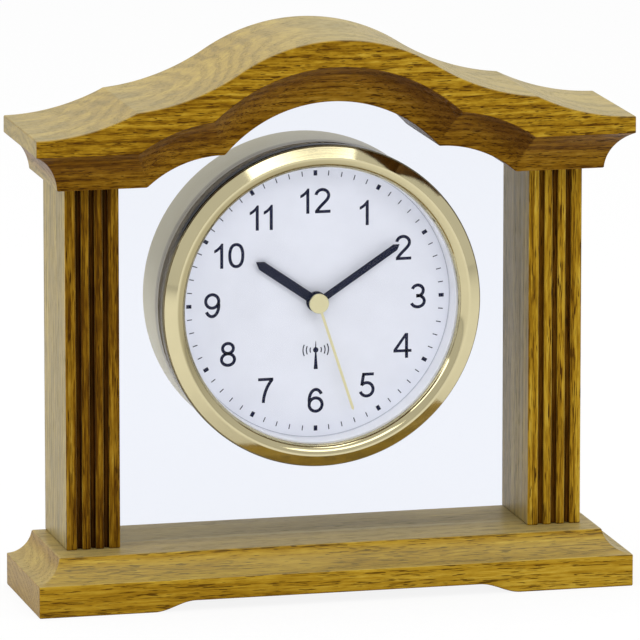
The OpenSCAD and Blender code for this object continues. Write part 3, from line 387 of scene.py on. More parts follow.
# Varnished oak whose grain runs along x or z, stretched that many times. A brown darkening colour multiplies
# the group's colour. Its mask is the largest of: a painted shade on faces that look down, a painted shade by
# depth in the cornice's cove or in a pillar's flutes, a painted shade on faces that look forward, and a
# darkening on the ends. A cooler painted shade multiplies it too, in the flutes and on the right half of
# the cove where it looks to the left. Last comes a painted pale sheen, the varnish's reflection seen at a
# slant and on faces that look up, times (1 - darkening) squared.
def oakMaterial(name, along, rings, stretch=1.0, cove=0.0, flutes=None, frontShade=0.0, endDarkening=0.0,
                upSheen=0.0):
    look = {"stain": (0.34, 0.20, 0.12), "shade": (0.40, 0.30, 0.42), "haze": (0.36, 0.335, 0.17),
            "down": (-0.02, -0.6), "downShade": 0.8, "front": (-0.4, -0.7), "end": (0.75, 0.95),
            "slant": (0.45, 0.85), "slantSheen": 0.55, "up": (0.15, 0.6), "roughness": (0.38, 0.6),
            "ior": 1.28, "reflection": (1.0, 0.58, 0.1, 1.0), "bump": 0.35, "bumpDistance": 0.00012}
    coveZone = {"depth": (0.2, 2.0), "front": (-0.1, -0.4), "shadeDepth": (0.3, 0.8), "shadeX": (-2.0, 6.0),
                "side": (-0.02, -0.32), "shade": 0.85}
    fluteZone = {"depth": (0.25, 1.6), "stain": 0.9, "edge": 0.3, "land": 1.5}
    material, tree, shader = startMaterial(name)
    x, y, z = split(objectPoint(tree))
    lookX, lookY, lookZ = facing(tree)
    point = join(x / stretch, y, z) if along == "x" else join(z / stretch, x, y)
    group = addNode(tree, "ShaderNodeGroup", {"Point": point, **rings}, node_tree=oakGroup)
    # painted shade on faces that look down
    stain = remap(lookZ, *look["down"], 0, look["downShade"], smooth=True)
    shade = None
    if cove:
        # painted shade deep in the cove, and a cooler painted shade on its right half where it looks left
        depth = y - float(frontY)
        deep = remap(depth, *coveZone["depth"], 0, cove, smooth=True)
        stain = larger(stain, deep * remap(lookY, *coveZone["front"]))
        within = remap(depth, *coveZone["shadeDepth"]) * remap(x, *coveZone["shadeX"])
        shade = within * remap(lookX, *coveZone["side"], 0, coveZone["shade"], smooth=True)
    if flutes:
        # painted shade deep in the flutes, and a cooler painted shade there
        low, high = boxMm(flutes["pillar"])
        middle, reach = float(low[0] + high[0]) / 2, float(high[0] - low[0]) / 2 - fluteZone["land"]
        deep = remap(y - float(low[1]), *fluteZone["depth"], 0, fluteZone["stain"], smooth=True)
        deep = deep * remap(abs(x - middle), reach, reach + fluteZone["edge"], 1, 0)
        stain = larger(stain, deep)
        shade = deep * flutes["shade"]
    if frontShade:
        # painted shade on faces that look forward
        stain = larger(stain, remap(lookY, *look["front"], 0, frontShade))
    if endDarkening:
        stain = larger(stain, remap(abs(lookX), *look["end"], 0, endDarkening))
    colour = blendColour(stain, Value(group.outputs["Color"]), look["stain"], mode="MULTIPLY")
    if shade:
        colour = blendColour(shade, colour, look["shade"], mode="MULTIPLY")
    # painted sheen: the varnish's pale reflection at a slant and on faces that look up
    slant = Value(addNode(tree, "ShaderNodeLayerWeight", {"Blend": 0.5}).outputs["Facing"])
    haze = remap(slant, *look["slant"], 0, look["slantSheen"])
    if upSheen:
        haze = larger(haze, remap(lookZ, *look["up"], 0, upSheen))
    undarkened = 1.0 - stain
    feed(shader, {"Base Color": blendColour(haze * (undarkened * undarkened), colour, look["haze"]),
                  "Roughness": remap(Value(group.outputs["Pores"]), 0, 1, *look["roughness"]),
                  "Normal": bumpNormal(Value(group.outputs["Height"]), look["bump"], look["bumpDistance"]),
                  "IOR": look["ior"], "Specular Tint": look["reflection"]})
    return material


# Most of a noise's values lie in this range.
noiseRange = (0.3, 0.7)


# A colour that soft clouds darken: the colour times a share where the cloud is low.
def cloudedColour(cloud, colour, share):
    return blendColour(remap(cloud, *noiseRange), tuple(v * share for v in colour), colour)


# Metal with a fine grain, in rings round the dial's axis where turned is true. Its roughness varies by a
# tenth with the clouds, plus up to brush with the grain. Grain and clouds are noises: size, detail, place.
def metalMaterial(name, colour, roughness, brush, turned=False):
    finish = {"grain": ((0.12,) * 3, 3.0), "cloud": ((9,) * 3, 3.0, (4, 2, 7)), "darker": 0.96, "vary": 0.1,
              "bump": 0.25, "bumpDistance": 0.00001}
    material, tree, shader = startMaterial(name)
    point = objectPoint(tree)
    cloud = stretchedNoise(point, *finish["cloud"])
    if turned:
        x, y, z = split(point)
        point = join(aboutDial(x, z)[0], y, 0.0)
    grain = stretchedNoise(point, *finish["grain"])
    plain = remap(cloud, *noiseRange, roughness * (1 - finish["vary"]), roughness * (1 + finish["vary"]))
    feed(shader, {"Base Color": cloudedColour(cloud, colour, finish["darker"]), "Metallic": 1.0,
                  "Roughness": remap(grain, *noiseRange, 0, brush) + plain,
                  "Normal": bumpNormal(grain, finish["bump"], finish["bumpDistance"])})
    return material


# Plastic, card or rubber: a slightly uneven colour and a fine moulded texture.
def dullMaterial(name, colour, roughness, texture=0.1, ior=1.45):
    finish = {"grain": ((0.25,) * 3, 2.0), "cloud": ((14,) * 3, 2.0, (1, 5, 2)), "darker": 0.95, "vary": 0.08,
              "bumpDistance": 0.00002}
    material, tree, shader = startMaterial(name)
    point = objectPoint(tree)
    grain = stretchedNoise(point, *finish["grain"])
    cloud = stretchedNoise(point, *finish["cloud"])
    rough = remap(grain, *noiseRange, roughness * (1 - finish["vary"]), roughness * (1 + finish["vary"]))
    feed(shader, {"Base Color": cloudedColour(cloud, colour, finish["darker"]), "Roughness": rough,
                  "Normal": bumpNormal(grain, texture, finish["bumpDistance"]), "IOR": ior})
    return material


# Clear glass. Shadow rays pass through it, tinted half as much, so that what is behind it stays lit.
def glassMaterial(name, tint, ior):
    smear = {"noise": ((30,) * 3, 3.0), "range": (0.3, 0.8), "roughness": 0.015}
    material, tree, shader = startMaterial(name)
    noise = stretchedNoise(objectPoint(tree), *smear["noise"])
    feed(shader, {"Base Color": (*tint, 1.0), "Transmission Weight": 1.0, "IOR": ior,
                  "Roughness": remap(noise, *smear["range"], 0, smear["roughness"])})
    ray = addNode(tree, "ShaderNodeLightPath").outputs
    through = larger(Value(ray["Is Shadow Ray"]), Value(ray["Is Diffuse Ray"]))
    clear = addNode(tree, "ShaderNodeBsdfTransparent", {"Color": (*[0.5 + 0.5 * v for v in tint], 1.0)})
    mix = addNode(tree, "ShaderNodeMixShader",
                  {0: through, 1: Value(shader.outputs[0]), 2: Value(clear.outputs[0])})
    feed(tree.nodes["Material Output"], {"Surface": Value(mix.outputs[0])})
    return material


# the coves, flutes, fronts and downward faces get painted shade, and slants and tops a painted sheen
oakCornice = oakMaterial(
    "oakCornice", "x", {"Ring Width": 3.4, "Pith Across": 12.0, "Pith Up": 60.0, "Pith Slope": 0.05,
                        "Contrast": 1.05, "Tone": 0.06, "Tone Slope": 0.0016},
    stretch=1.5, cove=0.68, upSheen=0.3)
oakBase = oakMaterial(
    "oakBase", "x", {"Ring Width": 3.0, "Pith Across": 30.0, "Pith Up": -70.0, "Pith Slope": 0.06,
                     "Contrast": 0.78, "Tone": 0.14},
    stretch=2.3, endDarkening=0.42, upSheen=0.33)
oakLeft = oakMaterial(
    "oakLeft", "z", {"Ring Width": 2.6, "Pith Across": -140.0, "Pith Up": 60.0, "Pith Slope": 0.03,
                     "Contrast": 1.7, "Tone": -0.04},
    stretch=3.0, flutes={"pillar": "left_pillar", "shade": 1.0}, frontShade=0.48)
oakRight = oakMaterial(
    "oakRight", "z", {"Ring Width": 3.0, "Pith Across": 150.0, "Pith Up": 40.0, "Pith Slope": 0.02,
                      "Contrast": 1.3, "Tone": 0.06},
    stretch=3.0, flutes={"pillar": "right_pillar", "shade": 0.35})
gold = metalMaterial("polishedGold", (0.62, 0.555, 0.34), 0.06, 0.02, turned=True)
paleGold = metalMaterial("brushedGold", (0.76, 0.70, 0.42), 0.32, 0.1, turned=True)
satin = metalMaterial("champagneSatin", (0.50, 0.45, 0.295), 0.32, 0.08, turned=True)
steel = metalMaterial("brightSteel", (0.55, 0.56, 0.58), 0.28, 0.06)
copper = metalMaterial("coilCopper", (0.62, 0.30, 0.15), 0.35, 0.1)
ironGrey = metalMaterial("motorSteel", (0.42, 0.43, 0.45), 0.4, 0.1)
paneGlass = glassMaterial("paneGlass", (0.865, 0.89, 0.955), 1.3)
lensGlass = glassMaterial("lensGlass", (0.985, 0.99, 1.0), 1.16)
whitePlastic = dullMaterial("whitePlastic", (0.88, 0.89, 0.93), 0.35)
dialCard = dullMaterial("dialCard", (0.80, 0.82, 0.90), 0.55, 0.05)
printInk = dullMaterial("printInk", (0.014, 0.016, 0.042), 0.5, 0.05, ior=1.12)
ringInk = dullMaterial("ringInk", (0.42, 0.44, 0.50), 0.45, 0.05)
handInk = dullMaterial("handLacquer", (0.010, 0.013, 0.034), 0.25, 0.05, ior=1.2)
blackPlastic = dullMaterial("blackPlastic", (0.022, 0.023, 0.025), 0.45, 0.35)
blackRubber = dullMaterial("blackRubber", (0.012, 0.012, 0.012), 0.7, 0.3)
gearPlastic = dullMaterial("gearPlastic", (0.72, 0.68, 0.56), 0.4)
magnetGrey = dullMaterial("magnet", (0.09, 0.09, 0.10), 0.4)
boardGreen = dullMaterial("boardGreen", (0.03, 0.14, 0.05), 0.35)
ferrite = dullMaterial("ferrite", (0.05, 0.05, 0.055), 0.6, 0.3)
cellWrap = dullMaterial("cellWrap", (0.16, 0.18, 0.22), 0.3)
buttonGrey = dullMaterial("buttonGrey", (0.55, 0.55, 0.57), 0.4)
dowelWood = dullMaterial("dowelWood", (0.55, 0.38, 0.20), 0.7, 0.4)
print("materials made")


# A material's shader, its base colour so far, and the parts of its object point.
def reopen(material):
    shader = material.node_tree.nodes["Principled BSDF"]
    colour = Value(shader.inputs["Base Color"].links[0].from_socket)
    return shader, colour, split(objectPoint(material.node_tree))


# The drum's satin skin gets painted shade: darker on the step behind the pane, where it lies in the bezel's
# shade, and dull, brownish and not metallic on the neck inside that step, in the shaded gap behind the
# bezel. It also has a thin dark line round it. Neck and step are masks of the radius and of the depth.
def addDrumBands(material):
    band = {"neckR": 60.3, "neckSoft": 0.1, "neck": (0.42, 0.37, 0.28),
            "stepEnd": 44.0, "stepSoft": 0.2, "step": (0.33, 0.29, 0.20),
            "lineAt": 41.5, "lineHalf": 0.16, "lineSoft": 0.1, "line": (0.09, 0.08, 0.06)}
    shader, colour, (x, y, z) = reopen(material)
    depth, radius = y - float(frontY), aboutDial(x, z)[0]
    step = remap(depth, band["stepEnd"], band["stepEnd"] + band["stepSoft"], 1, 0)
    line = remap(abs(depth - band["lineAt"]), band["lineHalf"], band["lineHalf"] + band["lineSoft"], 1, 0)
    neck = remap(radius, band["neckR"], band["neckR"] + band["neckSoft"], 1, 0) * step
    # painted shade on the step and on the neck, then the thin dark line
    for mask, tone in ((step, band["step"]), (line, band["line"]), (neck, band["neck"])):
        colour = blendColour(mask, colour, tone)
    feed(shader, {"Base Color": colour, "Metallic": 1.0 - neck})


# The bezel gets painted shadow and shade: its rim is painted dark and not metallic, nearly black at the upper
# left where the gap behind it is in shadow, and its lip is painted darker there than elsewhere, in place of
# the dark it reflects, twice as much at its inner edge.
def addBezelTones(material):
    rimZone = {"r": 61.25, "soft": 0.1, "tone": (0.20, 0.175, 0.115), "ior": 1.1,
               "blackHour": 11.0, "blackFrom": (0.74, 0.90), "rimShadow": (0.008, 0.007, 0.006)}
    lipZone = {"r": 56.7, "soft": 0.6, "innerR": 54.6, "innerSoft": 1.0, "hour": 10.1, "from": (0.1, 0.8),
               "most": 0.32, "least": 0.14, "tone": (0.16, 0.12, 0.04)}
    shader, colour, (x, y, z) = reopen(material)
    radius, up = aboutDial(x, z)

    # how far a point lies towards a clock hour, from -1 to 1: (x sin a + up cos a) / radius
    def towards(hour):
        a = math.radians(30 * hour)
        return (x * math.sin(a) + up * math.cos(a)) / radius

    # painted shadow on the rim, painted shade on the lip
    rim = remap(radius, rimZone["r"], rimZone["r"] + rimZone["soft"])
    lip = remap(radius, lipZone["r"], lipZone["r"] - lipZone["soft"])
    inner = remap(radius, lipZone["innerR"], lipZone["innerR"] - lipZone["innerSoft"])
    lipShade = remap(towards(lipZone["hour"]), *lipZone["from"], 0, lipZone["most"], smooth=True)
    lipShade = (lipShade * (inner + 1.0) + lipZone["least"]) * lip
    rimShadow = rim * remap(towards(rimZone["blackHour"]), *rimZone["blackFrom"], smooth=True)
    for mask, tone in ((lipShade, lipZone["tone"]), (rim, rimZone["tone"]), (rimShadow, rimZone["rimShadow"])):
        colour = blendColour(mask, colour, tone)
    feed(shader, {"Base Color": colour, "Metallic": 1.0 - rim, "IOR": rimZone["ior"]})


addDrumBands(satin)
addBezelTones(gold)

# Sizes that the base and the cornice share: how deep their coves go, how their edges are softened, how
# far beside an edge its support is, and how the columns near the ends are set.
moulding = {"inset": 9.8, "edgeRound": 0.5, "edgeSteps": 6, "arrisRound": 0.35, "support": 0.3,
            "mitreSoft": 0.45, "endSteps": 7, "beforeEnd": 0.8, "closest": 0.02}


# Points on an arc of a circle, its angles in radians: centre + radius * (cos a, sin a).
def circleArc(centre, radius, start, end, steps):
    angle = np.linspace(start, end, steps)
    return centre + radius * np.stack([np.cos(angle), np.sin(angle)], axis=-1)


# Cross-section of a cove with its two softened arrises, as insets from the face and heights from the
# flat that it leads to. The cove is a circle outside which the material stays, and each arris is a small
# circle that touches it: their centres are the sum of their radii apart.
def coveSection(centreInset, centreHeight, radius):
    steps = {"cove": 34, "arris": 6}
    soft = moulding["arrisRound"]
    outer = radius + soft
    cove = np.array([centreInset, centreHeight])
    faceArris = np.array([soft, centreHeight + math.sqrt(outer ** 2 - (soft - centreInset) ** 2)])
    flatArris = np.array([centreInset + math.sqrt(outer ** 2 - (soft - centreHeight) ** 2), soft])
    toFace = math.atan2(faceArris[1] - cove[1], faceArris[0] - cove[0])
    toFlat = math.atan2(flatArris[1] - cove[1], flatArris[0] - cove[0])
    return np.concatenate([circleArc(faceArris, soft, math.pi, math.pi + toFace, steps["arris"]),
                           circleArc(cove, radius, toFace, toFlat, steps["cove"])[1:-1],
                           circleArc(flatArris, soft, math.pi + toFlat, 1.5 * math.pi, steps["arris"])])


# Larger of two heights, plus a quarter of soft times the square of how much they overlap within soft, so
# that the crease between them is softened.
def softMax(a, b, soft):
    overlap = np.maximum(soft - np.abs(a - b), 0) / soft
    return np.maximum(a, b) + overlap * overlap * soft / 4


# How far an edge falls back at a distance from it, on a quarter circle: r less the root of r * r less
# (r - distance) squared.
def edgeFall(distance):
    r = moulding["edgeRound"]
    inside = np.clip(r - distance, 0, r)
    return r - np.sqrt(r * r - inside * inside)


# Distances from an end at which a board is cut into columns: the softened end edge, then the cove.
def endStations(section):
    quarter = moulding["edgeRound"] * (1 - np.cos(np.linspace(0, math.pi / 2, moulding["endSteps"])))
    stations = np.concatenate([quarter, section[:, 0], [section[-1, 0] + moulding["support"]]])
    stations = np.unique(np.round(stations, 4))
    return stations[np.concatenate([[True], np.diff(stations) > moulding["closest"]])]


# Columns from the middle to the right end, mirrored to the left.
def mirrored(xs):
    return np.concatenate([-xs[:0:-1], xs])


# A moulded board made of closed loops across its depth, one at each station along its length.
# stationX(h) gives the stations' places and faceHeight(x) the plain face's height. coveHeight(x, h, end)
# is the moulded face's height where the section has risen by h, at a distance end from the nearer end,
# and out is 1 where that face looks down.
def mouldedBoard(name, section, stationX, faceHeight, coveHeight, out, material, node):
    r, gap, top = moulding["edgeRound"], moulding["support"], section[0, 1]
    quarter = np.linspace(0, math.pi / 2, moulding["edgeSteps"])
    # the plain face from back to front: depth, and how much the face falls at that depth
    corner = r * (1 - np.cos(quarter))
    plainDepth = np.concatenate([caseD - corner, [caseD - r - gap, r + gap], corner[::-1]])
    plainFall = np.concatenate([r * (1 - np.sin(quarter)), [0, 0], r * (1 - np.sin(quarter[::-1]))])
    # the moulded face from front to back: depth, and the height that the section has there
    mouldDepth = np.concatenate([section[:, 0], [section[-1, 0] + gap, caseD / 2, caseD - r - gap],
                                 caseD - r + r * np.sin(quarter)])
    mouldRise = np.concatenate([section[:, 1], [0, 0, 0], corner])
    loops = []

    # a row on the plain face: its height less the fall there and the fall at the ends
    def plainRow(stationRise, depth, fall):
        x = stationX(stationRise)
        height = faceHeight(x) - out * (fall + edgeFall(caseW / 2 - np.abs(x)))
        loops.append((x, np.full_like(x, depth), height))

    # a row on the moulded face: the cove's height plus a lift into the board
    def mouldedRow(stationRise, depth, rise, lift=0.0):
        x = stationX(stationRise)
        height = coveHeight(x, rise, caseW / 2 - np.abs(x)) + out * lift
        loops.append((x, np.full_like(x, depth), height))

    for depth, fall, t in zip(plainDepth, plainFall, np.linspace(0, 1, len(plainDepth))):
        plainRow(top * t, depth, fall)
    plainRow(top, 0, r + gap)
    mouldedRow(top, 0, top, gap)
    for depth, rise in zip(mouldDepth, mouldRise):
        mouldedRow(rise, depth, rise)
    mouldedRow(0, caseD, r, gap)
    plainRow(0, caseD, r + gap)
    grid = np.array(loops)
    # near the ends, front and back come closer by the same quarter circle
    half = caseD / 2
    fallBack = edgeFall(caseW / 2 - np.abs(grid[:, 0]))
    grid[:, 1] = half + (grid[:, 1] - half) * (half - fallBack) / half
    rows, columns = grid.shape[0], grid.shape[2]
    points = np.stack([grid[:, 0], frontY + grid[:, 1], grid[:, 2]], axis=-1).reshape(-1, 3)
    quads = gridQuads(rows, columns, True, False)
    # the diagonals of the two halves mirror each other
    left = points[quads].mean(axis=1)[:, 0] < 0
    faces = np.concatenate([quads[left][:, [0, 1, 2]], quads[left][:, [0, 2, 3]],
                            quads[~left][:, [0, 1, 3]], quads[~left][:, [1, 2, 3]]]).tolist()
    caps = [list(np.arange(rows)[::-1] * columns), list(np.arange(rows) * columns + columns - 1)]
    flat = [len(faces), len(faces) + 1]
    faces += caps
    if out < 0:
        faces = [f[::-1] for f in faces]
    makePiece(name, points, faces, material, slot="oak", replaces=(node,), flatFaces=flat)


# Cornice. Its top is a crown, two hollow curves and two shoulder curves, all of them circles; its
# underside is an arch between two lobes, and a cove runs along the front, round the arch and the lobes,
# and along the ends.
def makeCornice(material):
    size = {"endH": 20.9, "shoulderH": 30, "shoulderSpan": 153.4, "crownFootH": 43.3, "crownSpan": 75,
            "crownH": 54.2, "shoulderR": 86, "archR": 55, "archRise": 29.6, "lobeR": 43.5,
            "lobeRise": 11, "lobeSpan": 84, "coveH": 14.5, "coveLean": 4, "ridgeSoft": 0.12,
            "underSoft": 0.5, "hollowOnly": 8, "farBelow": 50}
    columns = {"crown": 56, "lobe": 30, "flat": 1, "shoulder": 40, "crease": (0, 0.12, 0.3, 0.6),
               "fullCrease": 1.5}
    # the crown passes through its two feet and its top
    rise = size["crownH"] - size["crownFootH"]
    halfCrown = size["crownSpan"] / 2
    crownR = (halfCrown ** 2 + rise ** 2) / (2 * rise)
    # a hollow curve leaves the crown's foot without a corner and ends on the shoulder
    tilt = math.asin(halfCrown / crownR)
    foot = np.array([halfCrown - size["shoulderSpan"] / 2, size["shoulderH"] - size["crownFootH"]])
    normal = np.array([-math.sin(tilt), math.cos(tilt)])
    hollowR = foot @ foot / (2 * foot @ normal)
    hollow = np.array([-halfCrown, size["crownFootH"]]) + hollowR * normal
    # a shoulder curve goes from the end to the shoulder with its own radius
    a = np.array([-caseW / 2, size["endH"]])
    b = np.array([-size["shoulderSpan"] / 2, size["shoulderH"]])
    half = (b - a) / 2
    reach = np.linalg.norm(half)
    across = np.array([-half[1], half[0]]) / reach
    shoulder = (a + b) / 2 + across * math.sqrt(size["shoulderR"] ** 2 - reach ** 2)

    # height of the top: centre plus or minus the root of r * r - x * x for the circle that rules there
    def faceHeight(x):
        x = np.abs(x)
        crown = size["crownH"] - crownR + np.sqrt(np.maximum(crownR ** 2 - x ** 2, 0))
        curve = hollow[1] - np.sqrt(np.maximum(hollowR ** 2 - (x + hollow[0]) ** 2, 0))
        outer = shoulder[1] - np.sqrt(np.maximum(size["shoulderR"] ** 2 - (x + shoulder[0]) ** 2, 0))
        side = -softMax(-curve, -outer, size["ridgeSoft"])
        side = np.where(x < halfCrown + size["hollowOnly"], curve, side)
        return corniceZ + np.where(x < halfCrown, crown, side)

    # the cove is a circle through the face's and the flat's arris, its centre tilted by the lean
    lean = math.radians(size["coveLean"])
    inset, coveH = moulding["inset"], size["coveH"]
    coveR = (inset ** 2 + coveH ** 2) / (2 * (inset * math.cos(lean) - coveH * math.sin(lean)))
    section = coveSection(inset - coveR * math.cos(lean), -coveR * math.sin(lean), coveR)
    archCentre = size["archRise"] - size["archR"]
    lobeCentre = size["lobeRise"] - size["lobeR"]
    lobeX = size["lobeSpan"] / 2

    # top of a circle at x, and far below the board beside the circle
    def circleTop(x, centreX, centreH, r):
        below = np.where(np.abs(x - centreX) > r, size["farBelow"], 0)
        return centreH + np.sqrt(np.maximum(r * r - (x - centreX) ** 2, 0)) - below

    # height of the underside: the highest of arch, lobe and flat, each grown by the rise, and near an
    # end the section's own height at that distance
    def coveHeight(x, rise, end):
        x = np.abs(x)
        height = softMax(circleTop(x, 0, archCentre, size["archR"] + rise),
                         circleTop(x, lobeX, lobeCentre, size["lobeR"] + rise), size["underSoft"])
        height = softMax(height, np.full_like(x, rise), size["underSoft"])
        atEnd = softMax(height, np.interp(end, section[:, 0], section[:, 1]), moulding["mitreSoft"])
        return corniceZ + np.where(end < section[-1, 0], atEnd, height)

    ends = caseW / 2 - endStations(section)[::-1]

    # stations follow the two creases of the underside, which move outwards as the section rises: where
    # the arch meets the lobe, and where the lobe meets the flat
    def stationX(rise):
        archR, lobeR = size["archR"] + rise, size["lobeR"] + rise
        flatCrease = lobeX + math.sqrt(lobeR ** 2 - (rise - lobeCentre) ** 2)
        apart = np.array([lobeX, lobeCentre - archCentre])
        span = np.linalg.norm(apart)
        along = (span ** 2 + archR ** 2 - lobeR ** 2) / (2 * span)
        up = math.sqrt(archR ** 2 - along ** 2)
        archCrease = (apart[0] * along - apart[1] * up) / span
        marks = [0, archCrease, flatCrease, size["shoulderSpan"] / 2]
        near = np.array(columns["crease"]) * min(1, (marks[3] - marks[2]) / columns["fullCrease"])
        xs = [[0.0]]
        for i, count in enumerate((columns["crown"], columns["lobe"], columns["flat"])):
            start, end = marks[i], marks[i + 1]
            inner = np.linspace(start + (near[-1] if i else 0), end - near[-1], count + 1)
            xs += [start + near[1:-1], inner] if i else [inner[1:]]
            xs += [end - near[1:-1][::-1], [end]]
        last = np.linspace(marks[3] + near[-1], ends[0] - moulding["beforeEnd"], columns["shoulder"])
        return mirrored(np.concatenate(xs + [marks[3] + near[1:-1], last, ends]))

    mouldedBoard("corniceWood", section, stationX, faceHeight, coveHeight, 1, material, "cornice")


# Base. Its top has a cove along the front and the ends; its underside is raised between two lands.
def makeBase(material):
    size = {"coveH": 8.5, "footW": 44, "sweepW": 16, "footH": 3.8}
    columns = {"raised": 8, "sweep": 25, "foot": 14}
    coveR = (moulding["inset"] ** 2 + size["coveH"] ** 2) / (2 * size["coveH"])
    section = coveSection(0, size["coveH"] - coveR, coveR)
    foot = caseW / 2 - size["footW"]

    # height of the underside: half the foot's height times 1 - cos of a half turn over the sweep
    def faceHeight(x):
        t = np.clip((foot - np.abs(x)) / size["sweepW"], 0, 1)
        return size["footH"] * (1 - np.cos(np.pi * t)) / 2

    # height of the top: the base's own less the rise, or less the section's height near an end
    def coveHeight(x, rise, end):
        height = np.full_like(x, rise)
        atEnd = softMax(height, np.interp(end, section[:, 0], section[:, 1]), moulding["mitreSoft"])
        return baseTop - np.where(end < section[-1, 0], atEnd, height)

    ends = caseW / 2 - endStations(section)[::-1]
    xs = mirrored(np.concatenate([np.linspace(0, foot - size["sweepW"], columns["raised"])[:-1],
                                  np.linspace(foot - size["sweepW"], foot, columns["sweep"])[:-1],
                                  np.linspace(foot, ends[0] - moulding["beforeEnd"], columns["foot"]), ends]))
    mouldedBoard("baseWood", section, lambda rise: xs, faceHeight, coveHeight, -1, material, "base")


# Pillar: an outline with U-shaped flutes in its front, carried upwards through a few heights and drawn
# inwards at both ends to ease them.
def makePillar(name, node, material):
    size = {"flutes": 3, "fluteW": 2.0, "fluteD": 2.4, "fluteRound": 0.9, "corner": 0.6, "ease": 0.35,
            "support": 0.3, "fluteSupport": 0.15, "easeBend": 0.3,
            "cornerSteps": 7, "roundSteps": 9, "bottomSteps": 15}
    low, high = boxMm(node)
    width, depth = high[0] - low[0], high[1] - low[1]
    half, bottom = size["fluteW"] / 2, size["fluteD"] - size["fluteW"] / 2
    corner, ease, soft = size["corner"], size["ease"], size["fluteRound"]
    beside = corner + size["support"]

    # the same circle's arc, its angles in degrees
    def arc(x, y, r, start, end, steps=size["cornerSteps"]):
        return circleArc((x, y), r, math.radians(start), math.radians(end), steps)

    path = [arc(corner, corner, corner, 180, 270), [[beside, 0]]]
    for k in range(size["flutes"]):
        x = (k + 1) * width / (size["flutes"] + 1)
        reach = half + soft
        path += [[[x - reach - size["fluteSupport"], 0]],
                 arc(x - reach, soft, soft, -90, 0, size["roundSteps"]),
                 arc(x, bottom, half, 180, 0, size["bottomSteps"]),
                 arc(x + reach, soft, soft, 180, 270, size["roundSteps"]),
                 [[x + reach + size["fluteSupport"], 0]]]
    path += [[[width - beside, 0]], arc(width - corner, corner, corner, -90, 0),
             [[width, beside], [width, depth - beside]],
             arc(width - corner, depth - corner, corner, 0, 90), [[width - beside, depth], [beside, depth]],
             arc(corner, depth - corner, corner, 90, 180), [[0, depth - beside], [0, beside]]]
    outline = np.concatenate(path)
    ahead = np.roll(outline, -1, axis=0) - np.roll(outline, 1, axis=0)
    inward = np.stack([-ahead[:, 1], ahead[:, 0]], axis=-1)
    inward /= np.linalg.norm(inward, axis=1)[:, None]
    # height over the end, and how far the outline is drawn inwards there
    rise = np.array([0, ease * size["easeBend"], ease, ease + size["support"]])
    cut = np.array([ease, ease * size["easeBend"], 0, 0])
    z = np.concatenate([low[2] + rise, high[2] - rise[::-1]])
    drawn = np.concatenate([cut, cut[::-1]])
    rings = low[:2] + outline + inward * drawn[:, None, None]
    points = np.concatenate([rings, np.broadcast_to(z[:, None, None], (*rings.shape[:2], 1))], axis=-1)
    count = len(outline)
    quads = gridQuads(len(z), count, False, True)[:, ::-1].tolist()
    caps = [list(range(count))[::-1], [(len(z) - 1) * count + i for i in range(count)]]
    makePiece(name, points.reshape(-1, 3), quads + caps, material, slot="oak", replaces=(node,),
              flatFaces=(len(quads), len(quads) + 1))


makeCornice(oakCornice)
makeBase(oakBase)
makePillar("pillarLeftWood", "left_pillar", oakLeft)
makePillar("pillarRightWood", "right_pillar", oakRight)
print("wood made")


# Bezel, a turned outline: a thin flange on the pane, a straight bevel up to a ridge, and a lip down to
# the lens that is an arc of 81 degrees. Heights are over the pane's face.
def makeBezel(material):
    size = {"flangeR": 61.7, "flangeT": 3.6, "bevelR": 61.2, "bevelFoot": 4.64, "ridgeR": 56.9, "ridgeH": 6.8,
            "ridgeTop": 0.3, "lipR": 4.0, "lipEnd": 171.4, "lipSteps": 22, "seatH": 3.4, "sleeveR": 55.9,
            "sleeveIn": 54.1}
    rounds = {"rim": [0.25, 0.3, 0.15, 0.25, 0.25], "seat": [0.25], "sleeve": [0.2, 0.2, 0.2, 0.15],
              "steps": 6, "support": 0.08}
    face = boxMm("glass_pane")[0][1] - frontY
    rim = [(size["flangeR"], 0), (size["flangeR"], size["flangeT"]), (size["bevelR"], size["flangeT"]),
           (size["bevelR"], size["bevelFoot"]), (size["ridgeR"] + size["ridgeTop"], size["ridgeH"])]
    lip = circleArc((size["ridgeR"], size["ridgeH"] - size["lipR"]), size["lipR"], math.pi / 2,
                    math.radians(size["lipEnd"]), size["lipSteps"])[1:]
    sleeveEnd = face + frontY - bezelHigh[1]
    sleeve = [(size["sleeveIn"], size["seatH"]), (size["sleeveIn"], sleeveEnd), (size["sleeveR"], sleeveEnd),
              (size["sleeveR"], 0)]
    radii = rounds["rim"] + [0] * (len(lip) - 1) + rounds["seat"] + rounds["sleeve"]
    outline = roundedPath(np.concatenate([rim, lip, sleeve]), radii, rounds["steps"], rounds["support"])
    outline[:, 1] = face - outline[:, 1]
    turnedPiece("bezelRing", outline, material, slot="gold_rim", replaces=("bezel",))


makeBezel(gold)
print("bezel made")


# Points on an arc of an ellipse, its angles in degrees: centre + (rx cos a, ry sin a). With a squareness
# below 1, the cosine and the sine are raised to it and keep their signs.
def arcPath(cx, cy, rx, ry, start, end, steps=28, squareness=1.0):
    angle = np.radians(np.linspace(start, end, steps))
    c, s = np.cos(angle), np.sin(angle)
    return np.stack([cx + rx * np.sign(c) * np.abs(c) ** squareness,
                     cy + ry * np.sign(s) * np.abs(s) ** squareness], axis=-1)


# Points on the cubic curve that starts at a towards b and comes to d from c.
def curvePath(a, b, c, d, steps=18):
    t = np.linspace(0, 1, steps)[:, None]
    a, b, c, d = (np.array(p, dtype=float) for p in (a, b, c, d))
    return (1 - t) ** 3 * a + 3 * (1 - t) ** 2 * t * b + 3 * (1 - t) * t ** 2 * c + t ** 3 * d


